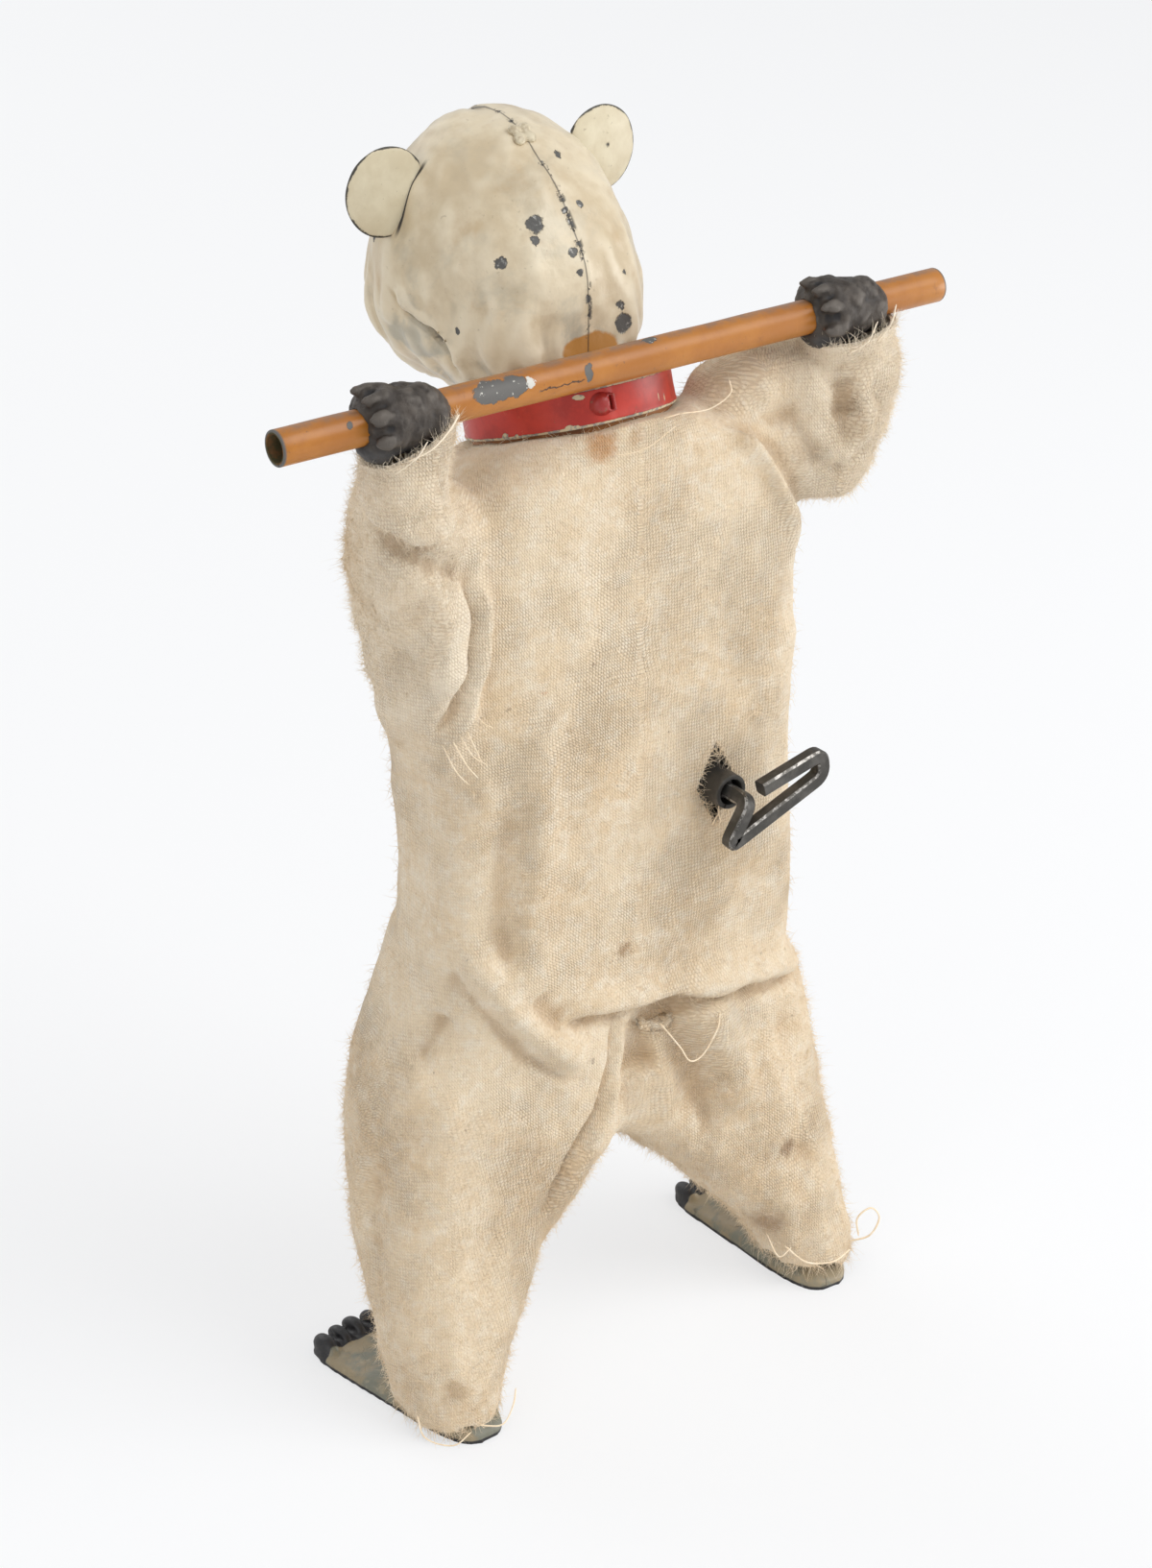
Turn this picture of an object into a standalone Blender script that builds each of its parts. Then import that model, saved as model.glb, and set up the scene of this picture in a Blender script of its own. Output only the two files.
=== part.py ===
"""Clockwork bear toy: tin head, cast paws and feet, flannel suit, and a spring motor in the body.

Metres, +Z up. The bear faces -Y and stands on z = 0, with its own left hand at +X.
"""

import bmesh
import bpy
import math
from mathutils import Matrix, Vector

MM = 0.001

# Air between neighbouring pieces, and the stock that the pieces are made of
GAP = 0.3 * MM
TIN = 0.6 * MM
PLATE = 0.8 * MM
CLOTH = 1.0 * MM

# The toy is drawn with its body over the origin, then set this far back to centre its outline
SET_BACK = 11.5 * MM

# Body of the suit: D shaped, with a flat back and a round belly
TORSO_HALF_WIDTH = 33.0 * MM
TORSO_BACK = 16.0 * MM
TORSO_BELLY = 18.0 * MM
TORSO_BOTTOM = 58.0 * MM
ARM_HOLE_RADIUS = 9.0 * MM
KEY_SLIT_HEIGHT = 14.0 * MM
KEY_SLIT_WIDTH = 7.5 * MM

# Trouser legs, which turn with the legs about the hip axle
HIP_Y = 1.0 * MM
HIP_Z = 62.0 * MM
HIP_RADIUS = 19.5 * MM
HIP_ROUND_SHARE = 0.93
HIP_CLEARANCE = 0.5 * MM
HIP_AXLE_RADIUS = 1.3 * MM
HEM_HEIGHT = 5.0 * MM
LEG_SPREAD = 38.0 * MM
LEG_OUTER_REACH = 46.0 * MM

# Feet
FOOT_X = 36.6 * MM
FOOT_HEEL_Y = 25.2 * MM
FOOT_LENGTH = 38.2 * MM
FOOT_HALF_WIDTH = 8.4 * MM
FOOT_HEIGHT = 4.6 * MM
FOOT_FLARE = math.radians(4.0)
TOE_COUNT = 5
TOE_RADIUS = 2.0 * MM
ANKLE_BOSS_RADIUS = 3.2 * MM
ANKLE_BOSS_HEIGHT = 8.0 * MM
ANKLE_FROM_HEEL = 11.0 * MM
LEG_WIRE_RADIUS = 1.1 * MM

# Neck, collar and head. The neck leans forward, and the collar with it
NECK_Y = -1.5 * MM
NECK_Z = 153.6 * MM
NECK_LEAN = math.radians(18.0)
COLLAR_RADIUS = 15.9 * MM
COLLAR_HEIGHT = 5.5 * MM
NECK_DEPTH = 5.0 * MM
NECK_TUBE_RADIUS = 5.0 * MM
NECK_TUBE_HEIGHT = 12.0 * MM
STUD_RADIUS = 1.8 * MM
STUD_HEIGHT = 0.7 * MM
HEAD_HALF_WIDTH = 19.6 * MM
HEAD_BACK = 3.2 * MM
HEAD_LENGTH = 51.0 * MM
HEAD_TOP = 195.8 * MM
HEAD_SEAT = 0.8 * MM
HEAD_HEIGHT = round((HEAD_TOP - NECK_Z + HEAD_SEAT) / MM, 4) * MM
EAR_RADIUS = 6.7 * MM
EAR_STAND = -0.5 * MM
EAR_ALONG_SHARE = 23.6 / 51.0
EAR_UP_SHARE = 33.8 / 43.0
EAR_X = HEAD_HALF_WIDTH + EAR_STAND
EAR_Y = HEAD_BACK - HEAD_LENGTH * EAR_ALONG_SHARE
EAR_Z = HEAD_TOP - HEAD_HEIGHT * (1 - EAR_UP_SHARE)
EYE_RADIUS = 1.7 * MM
NOSE_RADIUS = 3.0 * MM
CROWN_TAB_RADIUS = 2.2 * MM
CROWN_TAB_ALONG_SHARE = 16.6 / 51.0
CROWN_TAB_DROP_SHARE = 2.0 / 43.0

# Pole and arms
POLE_RADIUS = 2.6 * MM
POLE_LENGTH = 117.0 * MM
POLE_X = 1.0 * MM
POLE_Y = 13.0 * MM
POLE_Z = 166.9 * MM
HAND_X = 39.2 * MM
PAW_HALF_LENGTH = 7.2 * MM
PAW_RADIUS = 5.4 * MM
CLAW_COUNT = 4
CLAW_LENGTH = 3.6 * MM
CLAW_RADIUS = 1.4 * MM
SHOULDER_Y = 2.0 * MM
SHOULDER_Z = 138.0 * MM
SHOULDER_AXLE_RADIUS = 1.3 * MM
ARM_WIRE_RADIUS = 1.0 * MM
SLEEVE_PLANE = 32.8 * MM
CUFF_DEPTH = 7.0 * MM
WRIST_REACH_LEFT = 43.0 * MM
WRIST_REACH_RIGHT = 48.5 * MM
ELBOW_SPREAD = 1.5 * MM
CUFF_LENGTH = 8.0 * MM
CUFF_SPREAD = 1.5 * MM
CUFF_HANG = 2.0 * MM
ELBOW_RISE = 3.0 * MM
ELBOW_HANG = 5.5 * MM
ELBOW_DEPTH = 11.0 * MM
SLEEVE_BELLY_IN = 2.0 * MM
SLEEVE_BELLY_HANG = 6.5 * MM
SLEEVE_BELLY_DEPTH = 11.5 * MM
SLEEVE_LOW_IN = 5.5 * MM
SLEEVE_LOW_HANG = 6.0 * MM
SLEEVE_LOW_DEPTH = 9.0 * MM
SLEEVE_TIP_IN = 9.0 * MM
SLEEVE_TIP_DEPTH = 6.0 * MM
SLEEVE_DROOP_LEFT = 28.0 * MM
SLEEVE_DROOP_RIGHT = 9.2 * MM

# Motor frame
SIDE_PLATE_X = 25.6 * MM
FRAME_FRONT = -6.4 * MM
FRAME_BACK = 12.6 * MM
FRAME_BOTTOM = HIP_Z + HIP_RADIUS + GAP
FRAME_TOP = 109.5 * MM
SIDE_BOTTOM = 57.0 * MM
SIDE_TOP = 142.6 * MM
HANGER_HALF_WIDTH = 4.5 * MM
BRIDGE_WIDTH = 14.0 * MM
PILLAR_RADIUS = 1.3 * MM
PILLAR_INSET = 1.7 * MM

# Key, spring and wheels
KEY_X = -14.7 * MM
KEY_Z = 96.5 * MM
ARBOR_RADIUS = 1.5 * MM
KEY_SLEEVE_RADIUS = 2.8 * MM
KEY_SLEEVE_END = 20.0 * MM
KEY_WIRE = 2.3 * MM
KEY_LOOP_Y = 24.2 * MM
KEY_CORNER = (3.9 * MM, -6.1 * MM)
KEY_FAR = (-12.6 * MM, 0.2 * MM)
KEY_FREE_END = (-2.2 * MM, 0.2 * MM)
GREAT_TEETH = 32
PINION_TEETH = 10
WHEEL_MODULE = 0.6 * MM
MESH_CLEARANCE = 0.15 * MM
WHEEL_THICKNESS = 1.6 * MM
GREAT_WHEEL_Y = 9.8 * MM
TRAIN_ANGLE = math.radians(-50.0)
STUD_SHAFT_RADIUS = 1.2 * MM
CROWN_TEETH = 24
CROWN_RADIUS = 8.0 * MM
CROWN_RIM = 1.6 * MM
CROWN_DISC = 1.2 * MM
CROWN_TOOTH = 1.2 * MM
CRANK_PINION_TEETH = 8
CRANK_PINION_WIDTH = 3.0 * MM
CRANKSHAFT_RADIUS = 1.2 * MM
CRANK_THROW = 2.0 * MM
CRANK_PIN_RADIUS = 0.9 * MM
CRANK_PIN_LENGTH = 1.2 * MM
CRANK_DISC_RADIUS = 3.4 * MM
FLYWHEEL_RADIUS = 7.0 * MM
FLYWHEEL_WIDTH = 3.0 * MM
FLYWHEEL_X = 12.0 * MM
SPOKE_HOLE_RADIUS = 1.8 * MM
SPOKE_RING_RADIUS = 6.1 * MM
RATCHET_TEETH = 12
RATCHET_RADIUS = 3.6 * MM
RATCHET_THICKNESS = 1.2 * MM
CLICK_PIN_RADIUS = 0.7 * MM
CLICK_HALF_WIDTH = 1.2 * MM
SPRING_RADIUS = 7.9 * MM
SPRING_TURNS = 4
SPRING_BAND = 0.45 * MM
SPRING_WIDTH = 8.0 * MM
LEVER_WIDTH = 5.0 * MM
LEVER_X = 29.4 * MM
LEVER_FOOT = 12.0 * MM

X, Y, Z = Vector((1, 0, 0)), Vector((0, 1, 0)), Vector((0, 0, 1))

# Turns for flat pieces that face along Y or along X, with their second drawing axis upright
FACE_Y = (math.pi / 2, 0, 0)
FACE_X = (math.pi / 2, 0, math.pi / 2)

for old in list(bpy.data.objects):
    bpy.data.objects.remove(old, do_unlink=True)

model = bpy.data.collections.new("clockwork_bear")
cutters = bpy.data.collections.new("cutters")
bpy.context.scene.collection.children.link(model)
bpy.context.scene.collection.children.link(cutters)


def finish(name, colour, roughness, metallic=0.0):
    material = bpy.data.materials.new(name)
    material.use_nodes = True
    shader = material.node_tree.nodes["Principled BSDF"]
    shader.inputs["Base Color"].default_value = (*colour, 1)
    shader.inputs["Roughness"].default_value = roughness
    shader.inputs["Metallic"].default_value = metallic
    return material


FLANNEL = finish("flannel", (0.72, 0.63, 0.49), 0.95)
IVORY = finish("ivory_paint", (0.62, 0.57, 0.44), 0.45)
RED = finish("red_paint", (0.42, 0.04, 0.03), 0.4)
OCHRE = finish("ochre_paint", (0.55, 0.24, 0.05), 0.45)
PAW_METAL = finish("dark_cast_metal", (0.07, 0.065, 0.06), 0.5, 0.8)
FOOT_PAINT = finish("foot_paint", (0.45, 0.43, 0.33), 0.5)
BLACK = finish("black_paint", (0.02, 0.02, 0.02), 0.35)
STEEL = finish("dark_steel", (0.12, 0.12, 0.12), 0.4, 0.9)
BARE_TIN = finish("bare_tin", (0.45, 0.45, 0.43), 0.4, 0.9)
BRASS = finish("wheel_brass", (0.6, 0.42, 0.15), 0.35, 1.0)
LEAD = finish("flywheel_lead", (0.25, 0.25, 0.26), 0.6, 0.8)


def keep(piece, name, material):
    """Name a finished piece, give it its material and put it in the model."""
    piece.name = name
    piece.data.materials.clear()
    piece.data.materials.append(material)
    for holder in list(piece.users_collection):
        holder.objects.unlink(piece)
    model.objects.link(piece)
    if piece.type == "MESH":
        piece.data.set_sharp_from_angle(angle=math.radians(35))
    return piece


def make_tool(piece, name):
    """Turn a piece into a hidden cutter."""
    piece.name = name
    for holder in list(piece.users_collection):
        holder.objects.unlink(piece)
    cutters.objects.link(piece)
    piece.hide_render = True
    piece.display_type = "WIRE"
    return piece


def boolean(piece, tool, operation="DIFFERENCE"):
    cut = piece.modifiers.new(operation.lower() + "_" + tool.name, "BOOLEAN")
    cut.operation = operation
    cut.solver = "EXACT"
    cut.object = tool
    return piece


def from_bmesh(shape, name):
    mesh = bpy.data.meshes.new(name)
    bmesh.ops.recalc_face_normals(shape, faces=shape.faces)
    shape.to_mesh(mesh)
    shape.free()
    mesh.shade_smooth()
    piece = bpy.data.objects.new(name, mesh)
    bpy.context.scene.collection.objects.link(piece)
    return piece


def box(name, low, high):
    """A box between two corners."""
    shape = bmesh.new()
    bmesh.ops.create_cube(shape, size=1)
    size = Vector(high) - Vector(low)
    bmesh.ops.scale(shape, vec=size, verts=shape.verts)
    bmesh.ops.translate(shape, vec=(Vector(high) + Vector(low)) / 2, verts=shape.verts)
    return from_bmesh(shape, name)


def rod(name, start, end, radius, sides=16, end_radius=None):
    """A cylinder or cone from start to end; its object's origin is at the start."""
    start, end = Vector(start), Vector(end)
    shape = bmesh.new()
    tip = radius if end_radius is None else end_radius
    length = (end - start).length
    bmesh.ops.create_cone(shape, cap_ends=True, segments=sides, radius1=radius, radius2=tip, depth=length)
    bmesh.ops.translate(shape, vec=(0, 0, length / 2), verts=shape.verts)
    turn = Z.rotation_difference(end - start).to_matrix()
    bmesh.ops.rotate(shape, matrix=turn, verts=shape.verts)
    piece = from_bmesh(shape, name)
    piece.location = start
    return piece


def tube(name, start, end, outer, inner, sides=24):
    """A straight tube, made as a closed profile turned about its axis."""
    start, end = Vector(start), Vector(end)
    length = (end - start).length
    corners = [(inner, 0), (outer, 0), (outer, length), (inner, length)]
    piece = turned(name, corners, sides)
    piece.location = start
    piece.rotation_euler = Z.rotation_difference(end - start).to_euler()
    return piece


def turned(name, corners, sides=24):
    """A closed outline of (radius, height) corners turned about local Z."""
    shape = bmesh.new()
    ring = [shape.verts.new((radius, 0, height)) for radius, height in corners]
    edges = [shape.edges.new((a, b)) for a, b in zip(ring, ring[1:] + ring[:1])]
    bmesh.ops.spin(shape, geom=ring + edges, cent=(0, 0, 0), axis=(0, 0, 1), dvec=(0, 0, 0),
                   angle=math.tau, steps=sides, use_merge=True)
    bmesh.ops.remove_doubles(shape, verts=shape.verts, dist=1e-6)
    return from_bmesh(shape, name)


def ring_points(radius, count=16, centre=(0, 0)):
    steps = [math.tau * i / count for i in range(count)]
    return [(centre[0] + radius * math.cos(a), centre[1] + radius * math.sin(a)) for a in steps]


def flat_piece(name, outlines, thickness, centre, facing):
    """A plate cut to outlines: the first is its edge, the rest are holes."""
    curve = bpy.data.curves.new(name, "CURVE")
    curve.dimensions = "2D"
    curve.fill_mode = "BOTH"
    curve.extrude = thickness / 2
    for outline in outlines:
        spline = curve.splines.new("POLY")
        spline.points.add(len(outline) - 1)
        for point, (u, v) in zip(spline.points, outline):
            point.co = (u, v, 0, 1)
        spline.use_cyclic_u = True
    plate = bpy.data.objects.new(name, curve)
    bpy.context.scene.collection.objects.link(plate)
    plate.location = centre
    plate.rotation_euler = facing
    return solid_of(plate)


def solid_of(curve_object):
    """The welded mesh of a curve, in the same place."""
    bpy.context.view_layer.update()
    graph = bpy.context.evaluated_depsgraph_get()
    mesh = bpy.data.meshes.new_from_object(curve_object.evaluated_get(graph))
    shape = bmesh.new()
    shape.from_mesh(mesh)
    bmesh.ops.remove_doubles(shape, verts=shape.verts, dist=1e-6)
    bmesh.ops.recalc_face_normals(shape, faces=shape.faces)
    shape.to_mesh(mesh)
    shape.free()
    piece = bpy.data.objects.new(curve_object.name, mesh)
    bpy.context.scene.collection.objects.link(piece)
    piece.matrix_world = curve_object.matrix_world.copy()
    bpy.data.objects.remove(curve_object, do_unlink=True)
    return piece


def wire(name, points, radius, resolution=2):
    """A round wire along points, with filled ends."""
    curve = bpy.data.curves.new(name, "CURVE")
    curve.dimensions = "3D"
    curve.bevel_depth = radius
    curve.bevel_resolution = resolution
    curve.use_fill_caps = True
    spline = curve.splines.new("POLY")
    spline.points.add(len(points) - 1)
    for point, place in zip(spline.points, points):
        point.co = (*place, 1)
    strand = bpy.data.objects.new(name, curve)
    bpy.context.scene.collection.objects.link(strand)
    return solid_of(strand)


def smooth_path(knots, steps=4):
    """Points along a smooth curve through the knots."""
    knots = [Vector(k) for k in knots]
    ends = [2 * knots[0] - knots[1]] + knots + [2 * knots[-1] - knots[-2]]
    path = []
    for before, a, b, after in zip(ends, ends[1:], ends[2:], ends[3:]):
        for i in range(steps):
            t = i / steps
            path.append(0.5 * (2 * a + (b - before) * t + (2 * before - 5 * a + 4 * b - after) * t ** 2
                               + (3 * a - before - 3 * b + after) * t ** 3))
    return path + [knots[-1]]


def loft(name, sections):
    """A closed solid through rings of equal point counts, capped at both ends."""
    shape = bmesh.new()
    rings = [[shape.verts.new(point) for point in section] for section in sections]
    for lower, upper in zip(rings, rings[1:]):
        count = len(lower)
        for i in range(count):
            j = (i + 1) % count
            shape.faces.new((lower[i], lower[j], upper[j], upper[i]))
    shape.faces.new(list(reversed(rings[0])))
    shape.faces.new(rings[-1])
    return from_bmesh(shape, name)


def rounded(angle, half_x, half_y, square):
    """A point on a rounded oblong; square above 2 fills its corners."""
    c, s = math.cos(angle), math.sin(angle)
    reach = (abs(c) ** square + abs(s) ** square) ** (-1 / square)
    return half_x * c * reach, half_y * s * reach


def mirrored(point, side):
    return (point[0] * side, point[1], point[2])


# Suit body: the outer form less an inner one, which opens it at the neck and the hips
TORSO_SIDES = 32
BACK_SQUARE_RIGHT = 14.0
BACK_SQUARE_LEFT = 6.0
BELLY_ROUND = 2.05


def torso_ring(height, width, belly, back, lean=0.0, inset=0.0, middle=0.0):
    """A level D: round towards the belly, square towards the back, leaning with the neck at the top."""
    points = []
    for i in range(TORSO_SIDES):
        angle = math.tau * i / TORSO_SIDES
        is_back = math.sin(angle) > 0
        depth = (back if is_back else belly) - inset
        square = (BACK_SQUARE_LEFT if math.cos(angle) > 0 else BACK_SQUARE_RIGHT) if is_back else BELLY_ROUND
        x, y = rounded(angle, width - inset, depth, square)
        y += middle
        points.append((x, y, height + math.tan(lean) * (y - NECK_Y)))
    return points


# Each row: share of the way up, then width, belly and back as shares of the full ones, and of the neck lean
TORSO_FORM = [(0.00, 1.00, 0.80, 0.95, 0.0), (0.12, 0.99, 0.88, 0.98, 0.0), (0.28, 0.98, 0.95, 1.00, 0.0),
              (0.46, 0.97, 0.97, 1.00, 0.0), (0.62, 0.97, 0.97, 1.00, 0.0), (0.76, 0.96, 0.97, 1.00, 0.0),
              (0.86, 0.95, 0.98, 0.98, 0.1), (0.93, 0.86, 1.00, 0.95, 0.4), (0.975, 0.68, 1.00, 1.00, 0.8)]
CUP_RADIUS = COLLAR_RADIUS - TIN - GAP
NECK_OPENING = CUP_RADIUS + GAP + CLOTH
TORSO_TOP = NECK_Z - 3 * GAP


def torso_rings(inset):
    rise = TORSO_TOP - TORSO_BOTTOM
    rings = [torso_ring(TORSO_BOTTOM + rise * up, TORSO_HALF_WIDTH * w, TORSO_BELLY * f, TORSO_BACK * b,
                        NECK_LEAN * lean, inset) for up, w, f, b, lean in TORSO_FORM]
    neck = NECK_OPENING - inset
    rings.append(torso_ring(TORSO_TOP, neck, neck, neck, NECK_LEAN, 0.0, NECK_Y))
    return rings


def dropped(ring, distance):
    return [(x, y, z - distance) for x, y, z in ring]


def suit_body():
    outer = loft("suit_body", torso_rings(0.0))
    hollow = torso_rings(CLOTH)
    hollow = ([dropped(hollow[0], 5 * CLOTH)] + hollow[1:-1]
              + [dropped(hollow[-1], -GAP), dropped(hollow[-1], -5 * CLOTH)])
    boolean(outer, make_tool(loft("suit_hollow", hollow), "suit_hollow"))
    boolean(outer, make_tool(hip_prism("hip_cutter", HIP_RADIUS + HIP_CLEARANCE, -1), "hip_cutter"))
    arms = rod("arm_hole_cutter", (-TORSO_HALF_WIDTH * 2, SHOULDER_Y, SHOULDER_Z),
               (TORSO_HALF_WIDTH * 2, SHOULDER_Y, SHOULDER_Z), ARM_HOLE_RADIUS, 20)
    boolean(outer, make_tool(arms, "arm_hole_cutter"))
    half_slit = KEY_SLIT_WIDTH / 2
    corners = [(-half_slit, 0), (0, -KEY_SLIT_HEIGHT / 2), (half_slit, 0), (0, KEY_SLIT_HEIGHT / 2)]
    slit = flat_piece("key_slit_cutter", [corners], 8 * CLOTH, (KEY_X, TORSO_BACK, KEY_Z), FACE_Y)
    boolean(outer, make_tool(slit, "key_slit_cutter"))
    return keep(outer, "suit_body", FLANNEL)


def hip_prism(name, radius, above):
    """Prism across the toy with the round of the hip joint as its edge; above is 1 over it and -1 under it."""
    half = math.acos(HIP_ROUND_SHARE)
    arc = [half + (math.pi - 2 * half) * i / 24 for i in range(25)]
    round_edge = [(radius * math.cos(a), radius * math.sin(a)) for a in arc]
    far = 2 * TORSO_TOP * above
    level = round_edge[0][1]
    corners = [(-3 * radius, level), (-3 * radius, far), (3 * radius, far), (3 * radius, level)]
    return flat_piece(name, [round_edge + corners], 4 * LEG_OUTER_REACH, (0, HIP_Y, HIP_Z), FACE_X)


# Trouser legs. Each row: share of the way up, of the outward reach and of the inward reach, middle y, depth
LEG_FORM = [(0.00, 0.97, 0.74, 14.4 * MM, 8.2 * MM), (0.07, 0.97, 0.63, 12.9 * MM, 9.2 * MM),
            (0.17, 0.97, 0.47, 9.6 * MM, 10.4 * MM), (0.27, 0.98, 0.31, 6.6 * MM, 11.8 * MM),
            (0.35, 0.98, 0.10, 4.6 * MM, 13.0 * MM), (0.43, 0.97, -0.12, 3.0 * MM, 14.2 * MM),
            (0.56, 0.93, -0.20, 1.6 * MM, 15.2 * MM), (0.70, 0.85, -0.20, 0.8 * MM, 15.8 * MM),
            (0.84, 0.76, -0.20, 0.4 * MM, 16.0 * MM), (1.00, 0.70, -0.20, 0.4 * MM, 15.8 * MM)]
LEG_SIDES = 24


def leg_ring(row, side, inset):
    """One level ring of a trouser leg; above the crotch it runs on past the middle, where a plane cuts it."""
    up, outward, inward, middle, depth = row
    top = HIP_Z + HIP_RADIUS + 2 * MM
    height = HEM_HEIGHT + (top - HEM_HEIGHT) * up
    far = LEG_OUTER_REACH * outward - inset
    near = LEG_SPREAD * inward + inset
    points = []
    for i in range(LEG_SIDES):
        x, y = rounded(math.tau * i / LEG_SIDES, (far - near) / 2, depth - inset, 2.6)
        points.append(mirrored(((far + near) / 2 + x, middle + y, height), side))
    return points


def trouser_leg(name, side):
    outer = loft(name, [leg_ring(row, side, 0.0) for row in LEG_FORM])
    hollow = [leg_ring(row, side, CLOTH) for row in LEG_FORM]
    hollow = ([dropped(hollow[0], 5 * CLOTH), dropped(hollow[0], GAP)] + hollow[1:-1]
              + [dropped(hollow[-1], -5 * CLOTH)])
    boolean(outer, make_tool(loft(name + "_hollow", hollow), name + "_hollow"))
    boolean(outer, make_tool(hip_prism(name + "_hip_cutter", HIP_RADIUS, 1), name + "_hip_cutter"))
    reach = 2 * LEG_OUTER_REACH
    low, high = (-reach, GAP) if side > 0 else (-GAP, reach)
    middle = box(name + "_middle_cutter", (low, -reach, -reach), (high, reach, 2 * reach))
    boolean(outer, make_tool(middle, name + "_middle_cutter"))
    return keep(outer, name, FLANNEL)


# Sleeves: wide cloth tubes that hang from the cuffs, open where they meet the suit body
SLEEVE_SIDES = 18


def sleeve_rings(side, droop, wrist_reach, inset):
    """Level rings from the cuff down; below the cuff they run past the plane that opens them to the body."""
    cuff_top = POLE_Z - PAW_RADIUS - GAP
    elbow = SHOULDER_Z + ELBOW_RISE
    elbow_reach = wrist_reach + ELBOW_SPREAD
    shut, opened = SLEEVE_PLANE + GAP, SLEEVE_PLANE - 3 * CLOTH
    rows = [(cuff_top, shut, wrist_reach, POLE_Y, CUFF_DEPTH),
            (cuff_top - CUFF_LENGTH, shut, wrist_reach + 0.5 * ELBOW_SPREAD, POLE_Y - CUFF_HANG, CUFF_DEPTH + CUFF_SPREAD),
            (elbow, opened, elbow_reach, POLE_Y - ELBOW_HANG, ELBOW_DEPTH),
            (elbow - 0.45 * droop, opened, elbow_reach - SLEEVE_BELLY_IN, POLE_Y - SLEEVE_BELLY_HANG, SLEEVE_BELLY_DEPTH),
            (elbow - 0.8 * droop, opened, elbow_reach - SLEEVE_LOW_IN, POLE_Y - SLEEVE_LOW_HANG, SLEEVE_LOW_DEPTH),
            (elbow - droop, opened, elbow_reach - SLEEVE_TIP_IN, POLE_Y - ELBOW_HANG, SLEEVE_TIP_DEPTH)]
    rings = []
    for height, inner, outer, middle_y, half_y in rows:
        steps = [rounded(math.tau * i / SLEEVE_SIDES, (outer - inner) / 2 - inset, half_y - inset, 2.2)
                 for i in range(SLEEVE_SIDES)]
        rings.append([mirrored(((outer + inner) / 2 + x, middle_y + y, height), side) for x, y in steps])
    return rings


def sleeve(name, side, droop, wrist_reach):
    outer = loft(name, sleeve_rings(side, droop, wrist_reach, 0.0))
    rings = sleeve_rings(side, droop, wrist_reach, CLOTH)
    rings = [dropped(rings[0], -5 * CLOTH)] + rings[:-1] + [dropped(rings[-1], -2 * CLOTH)]
    boolean(outer, make_tool(loft(name + "_hollow", rings), name + "_hollow"))
    low = (-SLEEVE_PLANE, -TORSO_BELLY * 2, 0)
    high = (SLEEVE_PLANE, TORSO_BACK * 3, 2 * TORSO_TOP)
    boolean(outer, make_tool(box(name + "_plane_cutter", low, high), name + "_plane_cutter"))
    return keep(outer, name, FLANNEL)


# Feet: thin castings with a flat sole, toes in front and a boss for the leg wire
# Each row: share of the way from heel to toe, share of the width, share of the height
FOOT_FORM = [(0.0, 0.22, 0.30), (0.04, 0.45, 0.45), (0.14, 0.62, 0.75), (0.30, 0.74, 1.0), (0.50, 0.82, 0.9),
             (0.72, 0.93, 0.62), (0.90, 1.0, 0.5), (1.0, 0.94, 0.42)]
FOOT_ARCH = 7


def foot_section(share, width, height):
    y = FOOT_HEEL_Y - FOOT_LENGTH * share * 0.94
    half = FOOT_HALF_WIDTH * width
    rise = FOOT_HEIGHT * height
    edge = 0.9 * MM
    arch = [(half * math.cos(math.pi * i / (FOOT_ARCH - 1)),
             edge + (rise - edge) * math.sin(math.pi * i / (FOOT_ARCH - 1)) ** 0.8) for i in range(FOOT_ARCH)]
    return [(-half, y, 0)] + [(half, y, 0)] + [(x, y, z) for x, z in arch]


def foot(name, side):
    piece = loft(name, [foot_section(*row) for row in FOOT_FORM])
    toe_line = FOOT_HEEL_Y - FOOT_LENGTH
    for i in range(TOE_COUNT):
        across = (i / (TOE_COUNT - 1) - 0.5) * 2 * (FOOT_HALF_WIDTH - TOE_RADIUS)
        bow = 1.0 * MM * abs(i / (TOE_COUNT - 1) - 0.5) * 2
        tip = Vector((across, toe_line + TOE_RADIUS + bow, TOE_RADIUS * 0.9))
        shape = bmesh.new()
        bmesh.ops.create_uvsphere(shape, u_segments=10, v_segments=6, radius=TOE_RADIUS)
        bmesh.ops.scale(shape, vec=(0.95, 1.6, 1.0), verts=shape.verts)
        bmesh.ops.translate(shape, vec=tip + Vector((0, 1.2 * MM, 0)), verts=shape.verts)
        boolean(piece, make_tool(from_bmesh(shape, "toe"), f"{name}_toe_{i + 1}"), "UNION")
    ankle = Vector((0, FOOT_HEEL_Y - ANKLE_FROM_HEEL, 0))
    boss = rod("boss", ankle + Z * 0.5 * MM, ankle + Z * ANKLE_BOSS_HEIGHT, ANKLE_BOSS_RADIUS, 14)
    boolean(piece, make_tool(boss, name + "_boss"), "UNION")
    socket = rod("socket", ankle + Z * 2 * MM, ankle + Z * 2 * ANKLE_BOSS_HEIGHT, LEG_WIRE_RADIUS + GAP, 12)
    boolean(piece, make_tool(socket, name + "_socket"))
    under = box("under", (-0.05, -0.1, -0.02), (0.05, 0.1, 0))
    boolean(piece, make_tool(under, name + "_under"))
    place = Matrix.Translation((FOOT_X * side, 0, 0)) @ Matrix.Rotation(FOOT_FLARE * side, 4, "Z")
    for part in [piece] + [cut.object for cut in piece.modifiers]:
        part.data.transform(place @ part.matrix_basis)
        part.matrix_basis = Matrix.Identity(4)
    return keep(piece, name, FOOT_PAINT)


def ankle_top(side):
    turn = Matrix.Rotation(FOOT_FLARE * side, 4, "Z")
    return turn @ Vector((0, FOOT_HEEL_Y - ANKLE_FROM_HEEL, 0)) + Vector((FOOT_X * side, 0, 0))


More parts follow.
